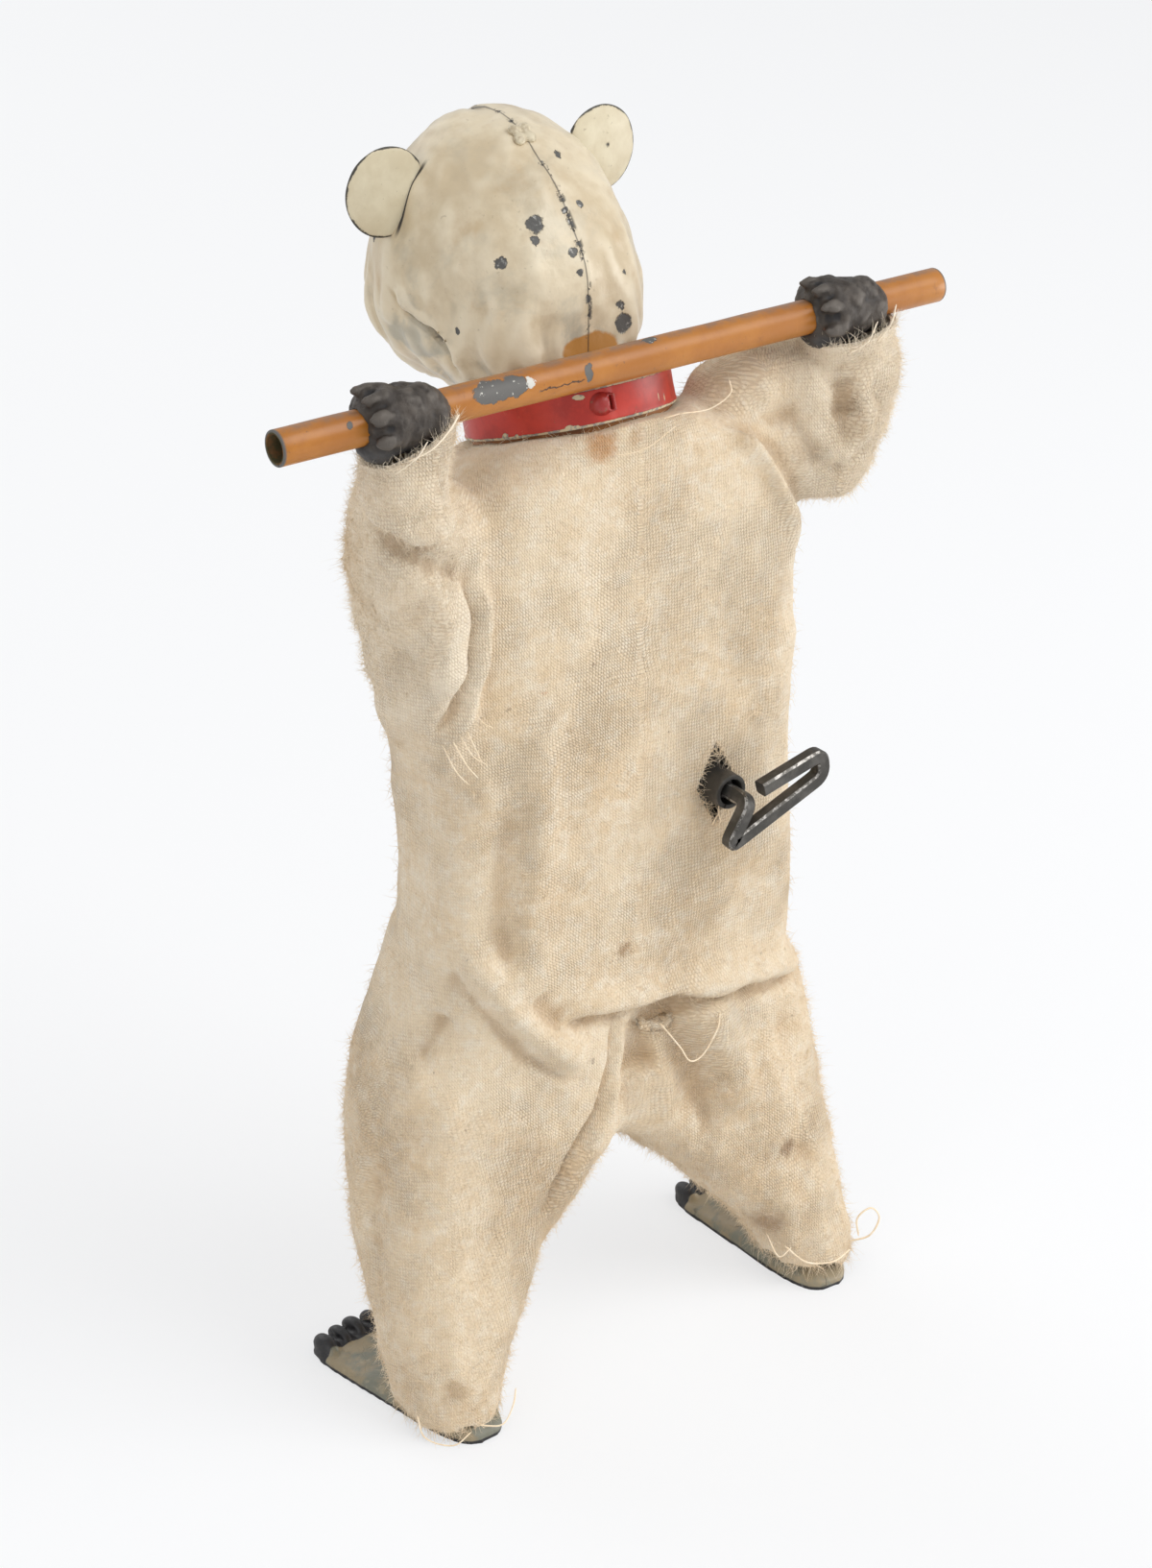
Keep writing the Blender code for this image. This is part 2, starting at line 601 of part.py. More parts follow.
def leg_wire(name, side):
    """Bent wire from the lever inside the hip down into the foot's boss."""
    ankle = ankle_top(side)
    lever_end = Vector((LEVER_X * side, HIP_Y, HIP_Z - LEVER_FOOT - GAP - LEG_WIRE_RADIUS))
    knee = Vector((FOOT_X * 0.93 * side, HIP_Y + 5 * MM, HIP_Z / 2))
    knots = [lever_end, lever_end - Z * 6 * MM, knee, ankle + Z * 1.8 * ANKLE_BOSS_HEIGHT,
             ankle + Z * 1.2 * ANKLE_BOSS_HEIGHT, ankle + Z * (2 * MM + GAP)]
    return keep(wire(name, smooth_path(knots), LEG_WIRE_RADIUS), name, STEEL)


def leg_lever(name, side):
    """Flat lever that turns on the hip axle; the crank pin works in its slot."""
    slot_z = CRANK_Z - HIP_Z
    half = LEVER_WIDTH / 2
    offset = CRANK_Y - HIP_Y
    top = slot_z + CRANK_THROW + CRANK_PIN_RADIUS + 2.2 * MM
    edge = [(-half, -LEVER_FOOT), (half, -LEVER_FOOT), (half, slot_z / 2),
            (half + offset, slot_z / 2 + 3 * MM), (half + offset, top), (offset - half, top),
            (offset - half, slot_z / 2 + 3 * MM), (-half, slot_z / 2)]
    slot_half = CRANK_PIN_RADIUS + GAP
    slot_low = slot_z - CRANK_THROW - slot_half
    slot_high = slot_z + CRANK_THROW + slot_half
    slot = [(offset - slot_half, slot_low), (offset + slot_half, slot_low),
            (offset + slot_half, slot_high), (offset - slot_half, slot_high)]
    plate = flat_piece(name, [edge, ring_points(HIP_AXLE_RADIUS + GAP), slot], PLATE,
                       ((LEVER_X + PLATE / 2) * side, HIP_Y, HIP_Z), FACE_X)
    return keep(plate, name, BARE_TIN)


# Neck and collar, built upright about the neck's own axis and then leaned forward
NECK_PLACE = Matrix.Translation((0, NECK_Y, NECK_Z)) @ Matrix.Rotation(NECK_LEAN, 4, "X")


def on_neck(piece):
    piece.matrix_world = NECK_PLACE @ piece.matrix_basis
    return piece


def neck_cup():
    """Stamped cup: its wall stands in the collar, its flat top carries the head, its tube stands up inside."""
    top = COLLAR_HEIGHT
    corners = [(CUP_RADIUS - TIN, -NECK_DEPTH), (CUP_RADIUS, -NECK_DEPTH), (CUP_RADIUS, top),
               (NECK_TUBE_RADIUS, top), (NECK_TUBE_RADIUS, NECK_TUBE_HEIGHT),
               (NECK_TUBE_RADIUS - TIN, NECK_TUBE_HEIGHT), (NECK_TUBE_RADIUS - TIN, top - TIN),
               (CUP_RADIUS - TIN, top - TIN)]
    return keep(on_neck(turned("neck_cup", corners, 28)), "neck_cup", OCHRE)


def collar():
    band = turned("collar", [(COLLAR_RADIUS - TIN, 0), (COLLAR_RADIUS, 0), (COLLAR_RADIUS, COLLAR_HEIGHT),
                             (COLLAR_RADIUS - TIN, COLLAR_HEIGHT)], 40)
    return keep(on_neck(band), "collar", RED)


def collar_stud():
    """Domed stud on the back of the collar, a little to the bear's left."""
    turn = math.radians(68)
    outward = Vector((math.cos(turn), math.sin(turn), 0))
    seat = outward * (COLLAR_RADIUS + GAP + STUD_HEIGHT) + Z * COLLAR_HEIGHT * 0.55
    shape = bmesh.new()
    bmesh.ops.create_uvsphere(shape, u_segments=12, v_segments=6, radius=STUD_RADIUS)
    bmesh.ops.scale(shape, vec=(1, 1, STUD_HEIGHT / STUD_RADIUS), verts=shape.verts)
    bmesh.ops.rotate(shape, matrix=Z.rotation_difference(outward).to_matrix(), verts=shape.verts)
    bmesh.ops.translate(shape, vec=seat, verts=shape.verts)
    return keep(on_neck(from_bmesh(shape, "collar_stud")), "collar_stud", RED)


# Head: upright sections from the back of the skull to the nose
# Each row: share of the length, of the half width, then top, bottom and widest place as shares of the height
HEAD_FORM = [(0.00, 0.28, 0.46, 0.22, 0.32), (0.035, 0.50, 0.60, 0.13, 0.34), (0.13, 0.74, 0.77, 0.07, 0.36),
             (0.27, 0.91, 0.92, 0.02, 0.39), (0.42, 1.00, 0.995, 0.00, 0.41), (0.56, 0.97, 0.985, -0.02, 0.42),
             (0.69, 0.79, 0.87, -0.03, 0.40), (0.79, 0.53, 0.70, -0.02, 0.36), (0.88, 0.36, 0.545, 0.02, 0.33),
             (0.96, 0.24, 0.46, 0.09, 0.31), (1.00, 0.10, 0.40, 0.19, 0.30)]
HEAD_ARC = 11


def head_section(row, side, offset):
    """Half of one upright section of the skull, from top to bottom; offset grows or shrinks it."""
    share, width, top, bottom, widest = row
    base = HEAD_TOP - HEAD_HEIGHT
    y = HEAD_BACK - HEAD_LENGTH * share
    y += offset * (1 - 2 * share)
    middle = base + HEAD_HEIGHT * widest
    points = []
    for i in range(HEAD_ARC):
        angle = math.pi * (0.5 - i / (HEAD_ARC - 1))
        rise = (HEAD_HEIGHT * top + base - middle) if angle > 0 else (middle - base - HEAD_HEIGHT * bottom)
        x, z = rounded(angle, HEAD_HALF_WIDTH * width + offset, rise + offset, 2.2)
        points.append((max(x, 0) * side, y, middle + z))
    return points


def head_sheet(side, offset):
    """A loose sheet over one half of the skull."""
    shape = bmesh.new()
    rows = [[shape.verts.new(point) for point in head_section(row, side, offset)] for row in HEAD_FORM]
    for a, b in zip(rows, rows[1:]):
        for i in range(HEAD_ARC - 1):
            shape.faces.new((a[i], a[i + 1], b[i + 1], b[i]))
    for row in (rows[0], rows[-1]):
        shape.faces.new(row)
    return shape


def skull(name, offset):
    """The whole skull as one closed solid."""
    shape = head_sheet(1, offset)
    bmesh.ops.mirror(shape, geom=shape.verts[:] + shape.edges[:] + shape.faces[:], axis="X",
                     merge_dist=1e-6)
    bmesh.ops.remove_doubles(shape, verts=shape.verts, dist=1e-5)
    return from_bmesh(shape, name)


def head_half(name, side):
    """One stamped half: the skull less its inside, less the other half and the neck."""
    half = skull(name, 0.0)
    boolean(half, make_tool(skull(name + "_inside", -TIN), name + "_inside"))
    reach = 2 * HEAD_LENGTH
    low = (-reach, -reach, 0) if side > 0 else (-GAP / 2, -reach, 0)
    high = (GAP / 2, reach, 2 * HEAD_TOP) if side > 0 else (reach, reach, 2 * HEAD_TOP)
    boolean(half, make_tool(box(name + "_seam_cutter", low, high), name + "_seam_cutter"))
    throat = rod(name + "_throat_cutter", (0, 0, -2 * NECK_DEPTH), (0, 0, COLLAR_HEIGHT + GAP),
                 COLLAR_RADIUS + GAP, 28)
    boolean(half, on_neck(make_tool(throat, name + "_throat_cutter")))
    return keep(half, name, IVORY)


def ear(name, side):
    """Flat tin disc that stands out of the side of the head."""
    disc = flat_piece(name, [ring_points(EAR_RADIUS, 28)], PLATE, (EAR_X * side, EAR_Y, EAR_Z), FACE_Y)
    boolean(disc, make_tool(skull(name + "_skull_cutter", GAP), name + "_skull_cutter"))
    return keep(disc, name, IVORY)


def head_surface(share, around):
    """A point on the skull and the way out of it, for what sits on the face."""
    rows = [row for row in HEAD_FORM if row[0] <= share]
    before = rows[-1]
    after = HEAD_FORM[min(len(rows), len(HEAD_FORM) - 1)]
    blend = (share - before[0]) / max(after[0] - before[0], 1e-6)
    row = [a + (b - a) * blend for a, b in zip(before, after)]
    section = [Vector(p) for p in head_section(row, 1, 0.0)]
    place = around * (HEAD_ARC - 1)
    low = int(place)
    point = section[low].lerp(section[min(low + 1, HEAD_ARC - 1)], place - low)
    centre = Vector((0, point.y, sum(p.z for p in section) / HEAD_ARC))
    return point, (point - centre).normalized()


def eye(name, side):
    """Small glass bead set on the slope between forehead and snout."""
    point, outward = head_surface(0.74, 0.26)
    outward = (outward - Y * 1.2).normalized()
    seat = point + outward * EYE_RADIUS * 0.6
    shape = bmesh.new()
    bmesh.ops.create_uvsphere(shape, u_segments=12, v_segments=8, radius=EYE_RADIUS)
    bmesh.ops.translate(shape, vec=mirrored(seat, side), verts=shape.verts)
    bead = from_bmesh(shape, name)
    boolean(bead, make_tool(skull(name + "_skull_cutter", GAP), name + "_skull_cutter"))
    return keep(bead, name, BLACK)


def nose():
    """Painted cap over the end of the snout."""
    share = 0.97
    tip = Vector((0, HEAD_BACK - HEAD_LENGTH * share, HEAD_TOP - HEAD_HEIGHT * 0.62))
    shape = bmesh.new()
    bmesh.ops.create_uvsphere(shape, u_segments=14, v_segments=8, radius=NOSE_RADIUS)
    bmesh.ops.scale(shape, vec=(1.15, 0.9, 0.85), verts=shape.verts)
    bmesh.ops.translate(shape, vec=tip, verts=shape.verts)
    cap = from_bmesh(shape, "nose")
    boolean(cap, make_tool(skull("nose_skull_cutter", GAP), "nose_skull_cutter"))
    return keep(cap, "nose", BLACK)


def crown_tab():
    """Tab bent over the seam behind the crown, pressed into a small rosette."""
    outline = []
    for i in range(30):
        angle = math.tau * i / 30
        radius = CROWN_TAB_RADIUS * (0.86 + 0.14 * math.cos(5 * angle))
        outline.append((radius * math.cos(angle), radius * math.sin(angle)))
    lean = math.radians(-38)
    seat = Vector((0, HEAD_BACK - HEAD_LENGTH * CROWN_TAB_ALONG_SHARE, HEAD_TOP - HEAD_HEIGHT * CROWN_TAB_DROP_SHARE))
    tab = flat_piece("crown_tab", [outline], 2 * PLATE, seat, (lean, 0, 0))
    boolean(tab, make_tool(skull("crown_tab_skull_cutter", GAP), "crown_tab_skull_cutter"))
    return keep(tab, "crown_tab", IVORY)


# Pole, paws and arm wires
def pole():
    start = (POLE_X - POLE_LENGTH / 2, POLE_Y, POLE_Z)
    end = (POLE_X + POLE_LENGTH / 2, POLE_Y, POLE_Z)
    return keep(tube("pole", start, end, POLE_RADIUS, POLE_RADIUS - TIN, 24), "pole", OCHRE)


def paw(name, side):
    """Cast paw closed round the pole, with claws over its outer end."""
    shape = bmesh.new()
    bmesh.ops.create_uvsphere(shape, u_segments=16, v_segments=10, radius=1)
    bmesh.ops.scale(shape, vec=(PAW_HALF_LENGTH, PAW_RADIUS, PAW_RADIUS), verts=shape.verts)
    piece = from_bmesh(shape, name)
    piece.location = (HAND_X * side, POLE_Y, POLE_Z)
    for i in range(CLAW_COUNT):
        turn = math.radians(20 + 48 * i)
        spread = Vector((0, math.cos(turn), math.sin(turn)))
        root = Vector(piece.location) + X * PAW_HALF_LENGTH * 0.35 + spread * PAW_RADIUS * 0.66
        tip = root + X * CLAW_LENGTH + spread * CLAW_LENGTH * 0.25
        claw = rod("claw", root, tip, CLAW_RADIUS, 8, CLAW_RADIUS * 0.35)
        boolean(piece, make_tool(claw, f"{name}_claw_{i + 1}"), "UNION")
    reach = X * 3 * PAW_HALF_LENGTH
    centre = Vector(piece.location)
    bore = rod("bore", centre - reach, centre + reach, POLE_RADIUS + GAP, 20)
    boolean(piece, make_tool(bore, name + "_bore"))
    return keep(piece, name, PAW_METAL)


def arm_wire(name, side):
    """Wire with an eye round the shoulder axle, out through the sleeve and up to the paw."""
    eye_radius = (SHOULDER_AXLE_RADIUS + GAP + ARM_WIRE_RADIUS) * 1.04
    eye_x = SIDE_PLATE_X + PLATE + 2 * GAP + ARM_WIRE_RADIUS
    turns = 14
    points = []
    for i in range(turns + 1):
        angle = math.radians(300 * i / turns - 40)
        points.append(Vector((eye_x + 1.2 * MM * (i / turns) ** 3, SHOULDER_Y + eye_radius * math.cos(angle),
                              SHOULDER_Z + eye_radius * math.sin(angle))))
    last = points[-1]
    wrist = Vector((HAND_X, POLE_Y, POLE_Z - PAW_RADIUS - GAP - ARM_WIRE_RADIUS))
    knots = [last, Vector((HAND_X - 6 * MM, SHOULDER_Y + 4 * MM, SHOULDER_Z - 2.5 * MM)),
             Vector((HAND_X, POLE_Y - 5 * MM, SHOULDER_Z + 7 * MM)), wrist]
    route = points[:-1] + smooth_path(knots, 4)
    return keep(wire(name, [mirrored(p, side) for p in route], ARM_WIRE_RADIUS), name, STEEL)


# Where the wheels stand, worked out from their teeth
GREAT_PITCH = GREAT_TEETH * WHEEL_MODULE / 2
PINION_PITCH = PINION_TEETH * WHEEL_MODULE / 2
TRAIN_DISTANCE = GREAT_PITCH + PINION_PITCH + MESH_CLEARANCE
SECOND_X = KEY_X + TRAIN_DISTANCE * math.cos(TRAIN_ANGLE)
SECOND_Z = KEY_Z + TRAIN_DISTANCE * math.sin(TRAIN_ANGLE)
CROWN_BACK = GREAT_WHEEL_Y - WHEEL_THICKNESS / 2 - GAP
CROWN_FACE = CROWN_BACK - CROWN_DISC
CROWN_TIP = CROWN_FACE - CROWN_TOOTH
CRANK_PITCH = CROWN_RADIUS * CRANK_PINION_TEETH / CROWN_TEETH
CRANK_Y = CROWN_FACE - CROWN_TOOTH / 2 - CRANK_PITCH - MESH_CLEARANCE
CRANK_Z = SECOND_Z
CRANK_DISC_X = SIDE_PLATE_X + PLATE + GAP
RATCHET_Y = GREAT_WHEEL_Y + WHEEL_THICKNESS / 2 + GAP + RATCHET_THICKNESS / 2


def polar(radius, degrees):
    turn = math.radians(degrees)
    return Vector((radius * math.cos(turn), radius * math.sin(turn)))


CLICK_PIVOT = polar(SPOKE_RING_RADIUS, 36)


def gear_outline(teeth, pitch, depth, fill=0.42, phase=0.0, tip_fill=0.24):
    """Straight sided teeth: fill is the share of the pitch that a tooth takes at the pitch line."""
    points = []
    step = math.tau / teeth
    root, tip = pitch - 0.55 * depth, pitch + 0.45 * depth
    for i in range(teeth):
        centre = step * i + phase
        wide, narrow = step * fill * 0.62, step * tip_fill * 0.5
        for radius, turn in ((root, -wide), (tip, -narrow), (tip, narrow), (root, wide)):
            points.append((radius * math.cos(centre + turn), radius * math.sin(centre + turn)))
    return points


def side_plate(name, side):
    """Upright plate that carries the hip axle, the crankshaft and the shoulder axle."""
    y_low, y_high = FRAME_FRONT + GAP, FRAME_BACK - GAP
    hanger_low, hanger_high = HIP_Y - HANGER_HALF_WIDTH, HIP_Y + HANGER_HALF_WIDTH
    edge = [(hanger_low, SIDE_BOTTOM), (hanger_high, SIDE_BOTTOM), (hanger_high, FRAME_BOTTOM),
            (y_high, FRAME_BOTTOM), (y_high, SIDE_TOP), (y_low, SIDE_TOP), (y_low, FRAME_BOTTOM),
            (hanger_low, FRAME_BOTTOM)]
    holes = [ring_points(HIP_AXLE_RADIUS + GAP, 16, (HIP_Y, HIP_Z)),
             ring_points(CRANKSHAFT_RADIUS + GAP, 16, (CRANK_Y, CRANK_Z)),
             ring_points(SHOULDER_AXLE_RADIUS + GAP, 16, (SHOULDER_Y, SHOULDER_Z))]
    plate = flat_piece(name, [edge] + holes, PLATE, ((SIDE_PLATE_X + PLATE / 2) * side, 0, 0), FACE_X)
    return keep(plate, name, BARE_TIN)


def cross_plate(name, y, hole_radius, hole_places):
    """Plate across the motor between the side plates, bored for the arbors."""
    half = SIDE_PLATE_X - GAP
    edge = [(-half, FRAME_BOTTOM), (half, FRAME_BOTTOM), (half, FRAME_TOP), (-half, FRAME_TOP)]
    holes = [ring_points(hole_radius, 16, place) for place in hole_places]
    plate = flat_piece(name, [edge] + holes, PLATE, (0, y, 0), FACE_Y)
    return keep(plate, name, BARE_TIN)


def pillars():
    """Four spacers between the front and the back plate, in their corners."""
    high, low = FRAME_TOP - PILLAR_INSET, FRAME_BOTTOM + PILLAR_INSET
    across = SIDE_PLATE_X - PILLAR_INSET
    places = {"upper_left": (across, high), "upper_right": (-across, high),
              "lower_left": (across, low), "lower_right": (-across, low)}
    for label, (x, z) in places.items():
        pillar = rod("pillar", (x, FRAME_FRONT + GAP, z), (x, FRAME_BACK - GAP, z), PILLAR_RADIUS, 10)
        keep(pillar, "pillar_" + label, STEEL)


def across_axle(name, y, z, radius, half_length):
    return keep(rod(name, (-half_length, y, z), (half_length, y, z), radius, 14), name, STEEL)


def neck_bridge():
    """Strap across the tops of the side plates that holds the neck cup up."""
    low = SIDE_TOP + GAP
    half = SIDE_PLATE_X + PLATE
    strap = box("neck_bridge", (-half, SHOULDER_Y - BRIDGE_WIDTH / 2, low),
                (half, SHOULDER_Y + BRIDGE_WIDTH / 2, low + PLATE))
    post_foot = Vector((0, NECK_Y + 1.5 * MM, low + PLATE / 2))
    post_top = NECK_PLACE @ Vector((0, 0, COLLAR_HEIGHT + 2 * MM))
    post = rod("bridge_post", post_foot, post_top, NECK_TUBE_RADIUS - TIN - GAP, 14)
    boolean(strap, make_tool(post, "bridge_post"), "UNION")
    return keep(strap, "neck_bridge", BARE_TIN)


def winding_arbor():
    start, end = (KEY_X, FRAME_FRONT - PLATE - GAP, KEY_Z), (KEY_X, KEY_SLEEVE_END - 1.5 * MM, KEY_Z)
    return keep(rod("winding_arbor", start, end, ARBOR_RADIUS, 14), "winding_arbor", STEEL)


def key_sleeve():
    """Rolled sleeve of the key, pushed over the arbor's end."""
    start, end = (KEY_X, FRAME_BACK + PLATE + GAP, KEY_Z), (KEY_X, KEY_SLEEVE_END, KEY_Z)
    return keep(tube("key_sleeve", start, end, KEY_SLEEVE_RADIUS, ARBOR_RADIUS + GAP, 18), "key_sleeve", STEEL)


def key():
    """Square wire bent into a flat wing: out of the sleeve, down, along and back."""
    half = KEY_WIRE / 2
    axis = Vector((KEY_X, 0, KEY_Z))
    corner, far, free_end = (axis + Vector((x, KEY_LOOP_Y, z)) for x, z in (KEY_CORNER, KEY_FAR, KEY_FREE_END))
    along = (far - corner).normalized()
    back = Vector((-along.z, 0, along.x)) * -KEY_WIRE * 1.3
    root = axis + Y * (KEY_SLEEVE_END + GAP)
    bend = axis + Y * KEY_LOOP_Y
    away = (corner - bend).normalized()
    route = [root, bend - Y * KEY_WIRE * 0.6, bend + away * KEY_WIRE * 0.6, corner - away * KEY_WIRE * 0.5,
             corner + along * KEY_WIRE * 0.5, far - along * KEY_WIRE * 0.3,
             far + along * 0.5 * KEY_WIRE + back * 0.4, far + along * 0.1 * KEY_WIRE + back, free_end]
    curve = bpy.data.curves.new("key", "CURVE")
    curve.dimensions = "3D"
    curve.bevel_depth = half * math.sqrt(2)
    curve.bevel_resolution = 0
    curve.use_fill_caps = True
    spline = curve.splines.new("POLY")
    spline.points.add(len(route) - 1)
    for point, place in zip(spline.points, route):
        point.co = (*place, 1)
        point.tilt = math.pi / 4
    strand = bpy.data.objects.new("key", curve)
    bpy.context.scene.collection.objects.link(strand)
    return keep(solid_of(strand), "key", STEEL)


def train():
    """Great wheel, second pinion and crown wheel, and the stud that the last two turn on."""
    spoke_holes = [ring_points(SPOKE_HOLE_RADIUS, 10, place) for place in ring_points(SPOKE_RING_RADIUS, 5)]
    click_hole = ring_points(CLICK_PIN_RADIUS + GAP / 2, 10, (CLICK_PIVOT.x, CLICK_PIVOT.y))
    great = flat_piece("great_wheel", [gear_outline(GREAT_TEETH, GREAT_PITCH, 2 * WHEEL_MODULE),
                                       ring_points(ARBOR_RADIUS + GAP), click_hole] + spoke_holes,
                       WHEEL_THICKNESS, (KEY_X, GREAT_WHEEL_Y, KEY_Z), FACE_Y)
    keep(great, "great_wheel", BRASS)
    # A tooth of the great wheel on the line of centres faces a gap of the pinion
    local = TRAIN_ANGLE
    step, small = math.tau / GREAT_TEETH, math.tau / PINION_TEETH
    lead = local - round(local / step) * step
    phase = local + math.pi + small / 2 + lead * GREAT_TEETH / PINION_TEETH
    pinion = flat_piece("second_pinion", [gear_outline(PINION_TEETH, PINION_PITCH, 2 * WHEEL_MODULE, phase=phase),
                                          ring_points(STUD_SHAFT_RADIUS + GAP, 12)],
                        WHEEL_THICKNESS, (SECOND_X, GREAT_WHEEL_Y, SECOND_Z), FACE_Y)
    keep(pinion, "second_pinion", STEEL)
    crown_wheel()
    shaft = rod("stud", (SECOND_X, FRAME_BACK - GAP, SECOND_Z), (SECOND_X, CROWN_FACE - GAP, SECOND_Z),
                STUD_SHAFT_RADIUS, 12)
    keep(shaft, "second_stud", STEEL)


def crown_wheel():
    """Disc with teeth that stand forward from its rim, cut by a star of slots."""
    inner, outer = CROWN_RADIUS - CROWN_RIM / 2, CROWN_RADIUS + CROWN_RIM / 2
    bore = STUD_SHAFT_RADIUS + GAP
    deep = CROWN_DISC + CROWN_TOOTH
    wheel = turned("crown_wheel", [(bore, 0), (outer, 0), (outer, deep), (inner, deep), (inner, CROWN_DISC),
                                   (bore, CROWN_DISC)], 24)
    wheel.location = (SECOND_X, CROWN_BACK, SECOND_Z)
    wheel.rotation_euler = FACE_Y
    star = []
    step = math.tau / CROWN_TEETH
    half_slot = step * CROWN_RADIUS * 0.32
    hub = inner - 0.8 * MM
    for i in range(CROWN_TEETH):
        turn = step * (i + 0.5)
        for reach, aside in ((hub, -half_slot * 0.8), (outer + 1 * MM, -half_slot), (outer + 1 * MM, half_slot),
                             (hub, half_slot * 0.8)):
            star.append((reach * math.cos(turn) - aside * math.sin(turn),
                         reach * math.sin(turn) + aside * math.cos(turn)))
    slots = flat_piece("crown_slots", [star], 2 * CROWN_TOOTH, (SECOND_X, CROWN_TIP, SECOND_Z), FACE_Y)
    boolean(wheel, make_tool(slots, "crown_slots"))
    return keep(wheel, "crown_wheel", BRASS)


def crankshaft():
    """Cross shaft with its pinion, flywheel and the two opposed cranks."""
    pinion_x = SECOND_X + CROWN_RADIUS
    across_axle("crankshaft", CRANK_Y, CRANK_Z, CRANKSHAFT_RADIUS, CRANK_DISC_X - GAP)
    bore = CRANKSHAFT_RADIUS + GAP / 2
    teeth = gear_outline(CRANK_PINION_TEETH, CRANK_PITCH, CROWN_TOOTH * 0.76, fill=0.28, phase=math.pi / 8)
    pinion = flat_piece("crank_pinion", [teeth, ring_points(bore, 14)], CRANK_PINION_WIDTH,
                        (pinion_x, CRANK_Y, CRANK_Z), FACE_X)
    keep(pinion, "crank_pinion", STEEL)
    wheel = flat_piece("flywheel", [ring_points(FLYWHEEL_RADIUS, 32), ring_points(bore, 14)], FLYWHEEL_WIDTH,
                       (FLYWHEEL_X, CRANK_Y, CRANK_Z), FACE_X)
    keep(wheel, "flywheel", LEAD)
    for name, side in (("crank_left", 1), ("crank_right", -1)):
        inner, outer = CRANK_DISC_X * side, (CRANK_DISC_X + PLATE) * side
        disc = rod(name, (inner, CRANK_Y, CRANK_Z), (outer, CRANK_Y, CRANK_Z), CRANK_DISC_RADIUS, 18)
        throw = CRANK_THROW * side
        pin = rod("pin", (inner + side * PLATE / 2, CRANK_Y, CRANK_Z + throw),
                  (outer + side * CRANK_PIN_LENGTH, CRANK_Y, CRANK_Z + throw), CRANK_PIN_RADIUS, 10)
        boolean(disc, make_tool(pin, name + "_pin"), "UNION")
        keep(disc, name, STEEL)


def mainspring():
    """Spiral spring round the arbor, and the post that holds its outer end."""
    front = FRAME_FRONT + 3 * GAP
    back = CROWN_TIP - GAP
    inner = ARBOR_RADIUS + GAP
    steps = SPRING_TURNS * 16
    grow = (SPRING_RADIUS - SPRING_BAND - inner) / steps
    outside = [(inner + SPRING_BAND + grow * i, 360 / 16 * i) for i in range(steps + 1)]
    inside = [(inner + grow * i, 360 / 16 * i) for i in range(steps, -1, -1)]
    outline = [polar(radius, degrees) for radius, degrees in outside + inside]
    coil = flat_piece("mainspring", [outline], back - front, (KEY_X, (front + back) / 2, KEY_Z), FACE_Y)
    keep(coil, "mainspring", STEEL)
    post_radius = 1.0 * MM
    post_x = KEY_X + SPRING_RADIUS + GAP + post_radius
    post = rod("post", (post_x, FRAME_FRONT + GAP, KEY_Z), (post_x, back, KEY_Z), post_radius, 10)
    keep(post, "spring_post", STEEL)


def ratchet_and_click():
    """Ratchet on the arbor behind the great wheel, and the wheel's click and click spring."""
    teeth = []
    for i in range(RATCHET_TEETH):
        turn = 360 / RATCHET_TEETH * i
        teeth += [polar(RATCHET_RADIUS, turn), polar(RATCHET_RADIUS * 0.76, turn + 3.5)]
    place = (KEY_X, RATCHET_Y, KEY_Z)
    ratchet = flat_piece("ratchet_wheel", [teeth, ring_points(ARBOR_RADIUS + GAP / 2, 14)], RATCHET_THICKNESS,
                         place, FACE_Y)
    keep(ratchet, "ratchet_wheel", STEEL)
    clear = RATCHET_RADIUS + GAP
    round_end = [CLICK_PIVOT + polar(CLICK_HALF_WIDTH, 80 - 26 * i) for i in range(9)]
    arm = [polar(clear + 0.5 * MM, 52), polar(clear + 0.2 * MM, 75), polar(clear, 96), polar(clear + 0.8 * MM, 94),
           polar(clear + 1.7 * MM, 76), polar(clear + 2.7 * MM, 58)]
    click = flat_piece("click", [round_end + arm], RATCHET_THICKNESS, place, FACE_Y)
    pivot = Vector((KEY_X + CLICK_PIVOT.x, 0, KEY_Z + CLICK_PIVOT.y))
    pin_end = pivot + Y * (GREAT_WHEEL_Y - WHEEL_THICKNESS / 4)
    pin = rod("click_pin", pivot + Y * RATCHET_Y, pin_end, CLICK_PIN_RADIUS, 10)
    boolean(click, make_tool(pin, "click_pin"), "UNION")
    keep(click, "click", STEEL)
    back = clear + 1.7 * MM + GAP
    strip = [(back, 76), (back, 84), (back + 0.3 * MM, 100), (back + 0.9 * MM, 116), (back + 1.6 * MM, 128),
             (back + 3.2 * MM, 131), (back + 3.0 * MM, 120), (back + 1.4 * MM, 112), (back + 0.8 * MM, 98),
             (back + 0.5 * MM, 84), (back + 0.5 * MM, 76)]
    bent = flat_piece("click_spring", [[polar(radius, degrees) for radius, degrees in strip]], RATCHET_THICKNESS,
                      place, FACE_Y)
    keep(bent, "click_spring", STEEL)


def hang(name, place, pieces):
    """An empty on a joint's axis that carries the pieces which turn about it."""
    holder = bpy.data.objects.new(name, None)
    holder.location = place
    holder.empty_display_size = 5 * MM
    model.objects.link(holder)
    bpy.context.view_layer.update()
    for piece in pieces:
        carried = bpy.data.objects[piece]
        carried.parent = holder
        carried.matrix_parent_inverse = holder.matrix_world.inverted()


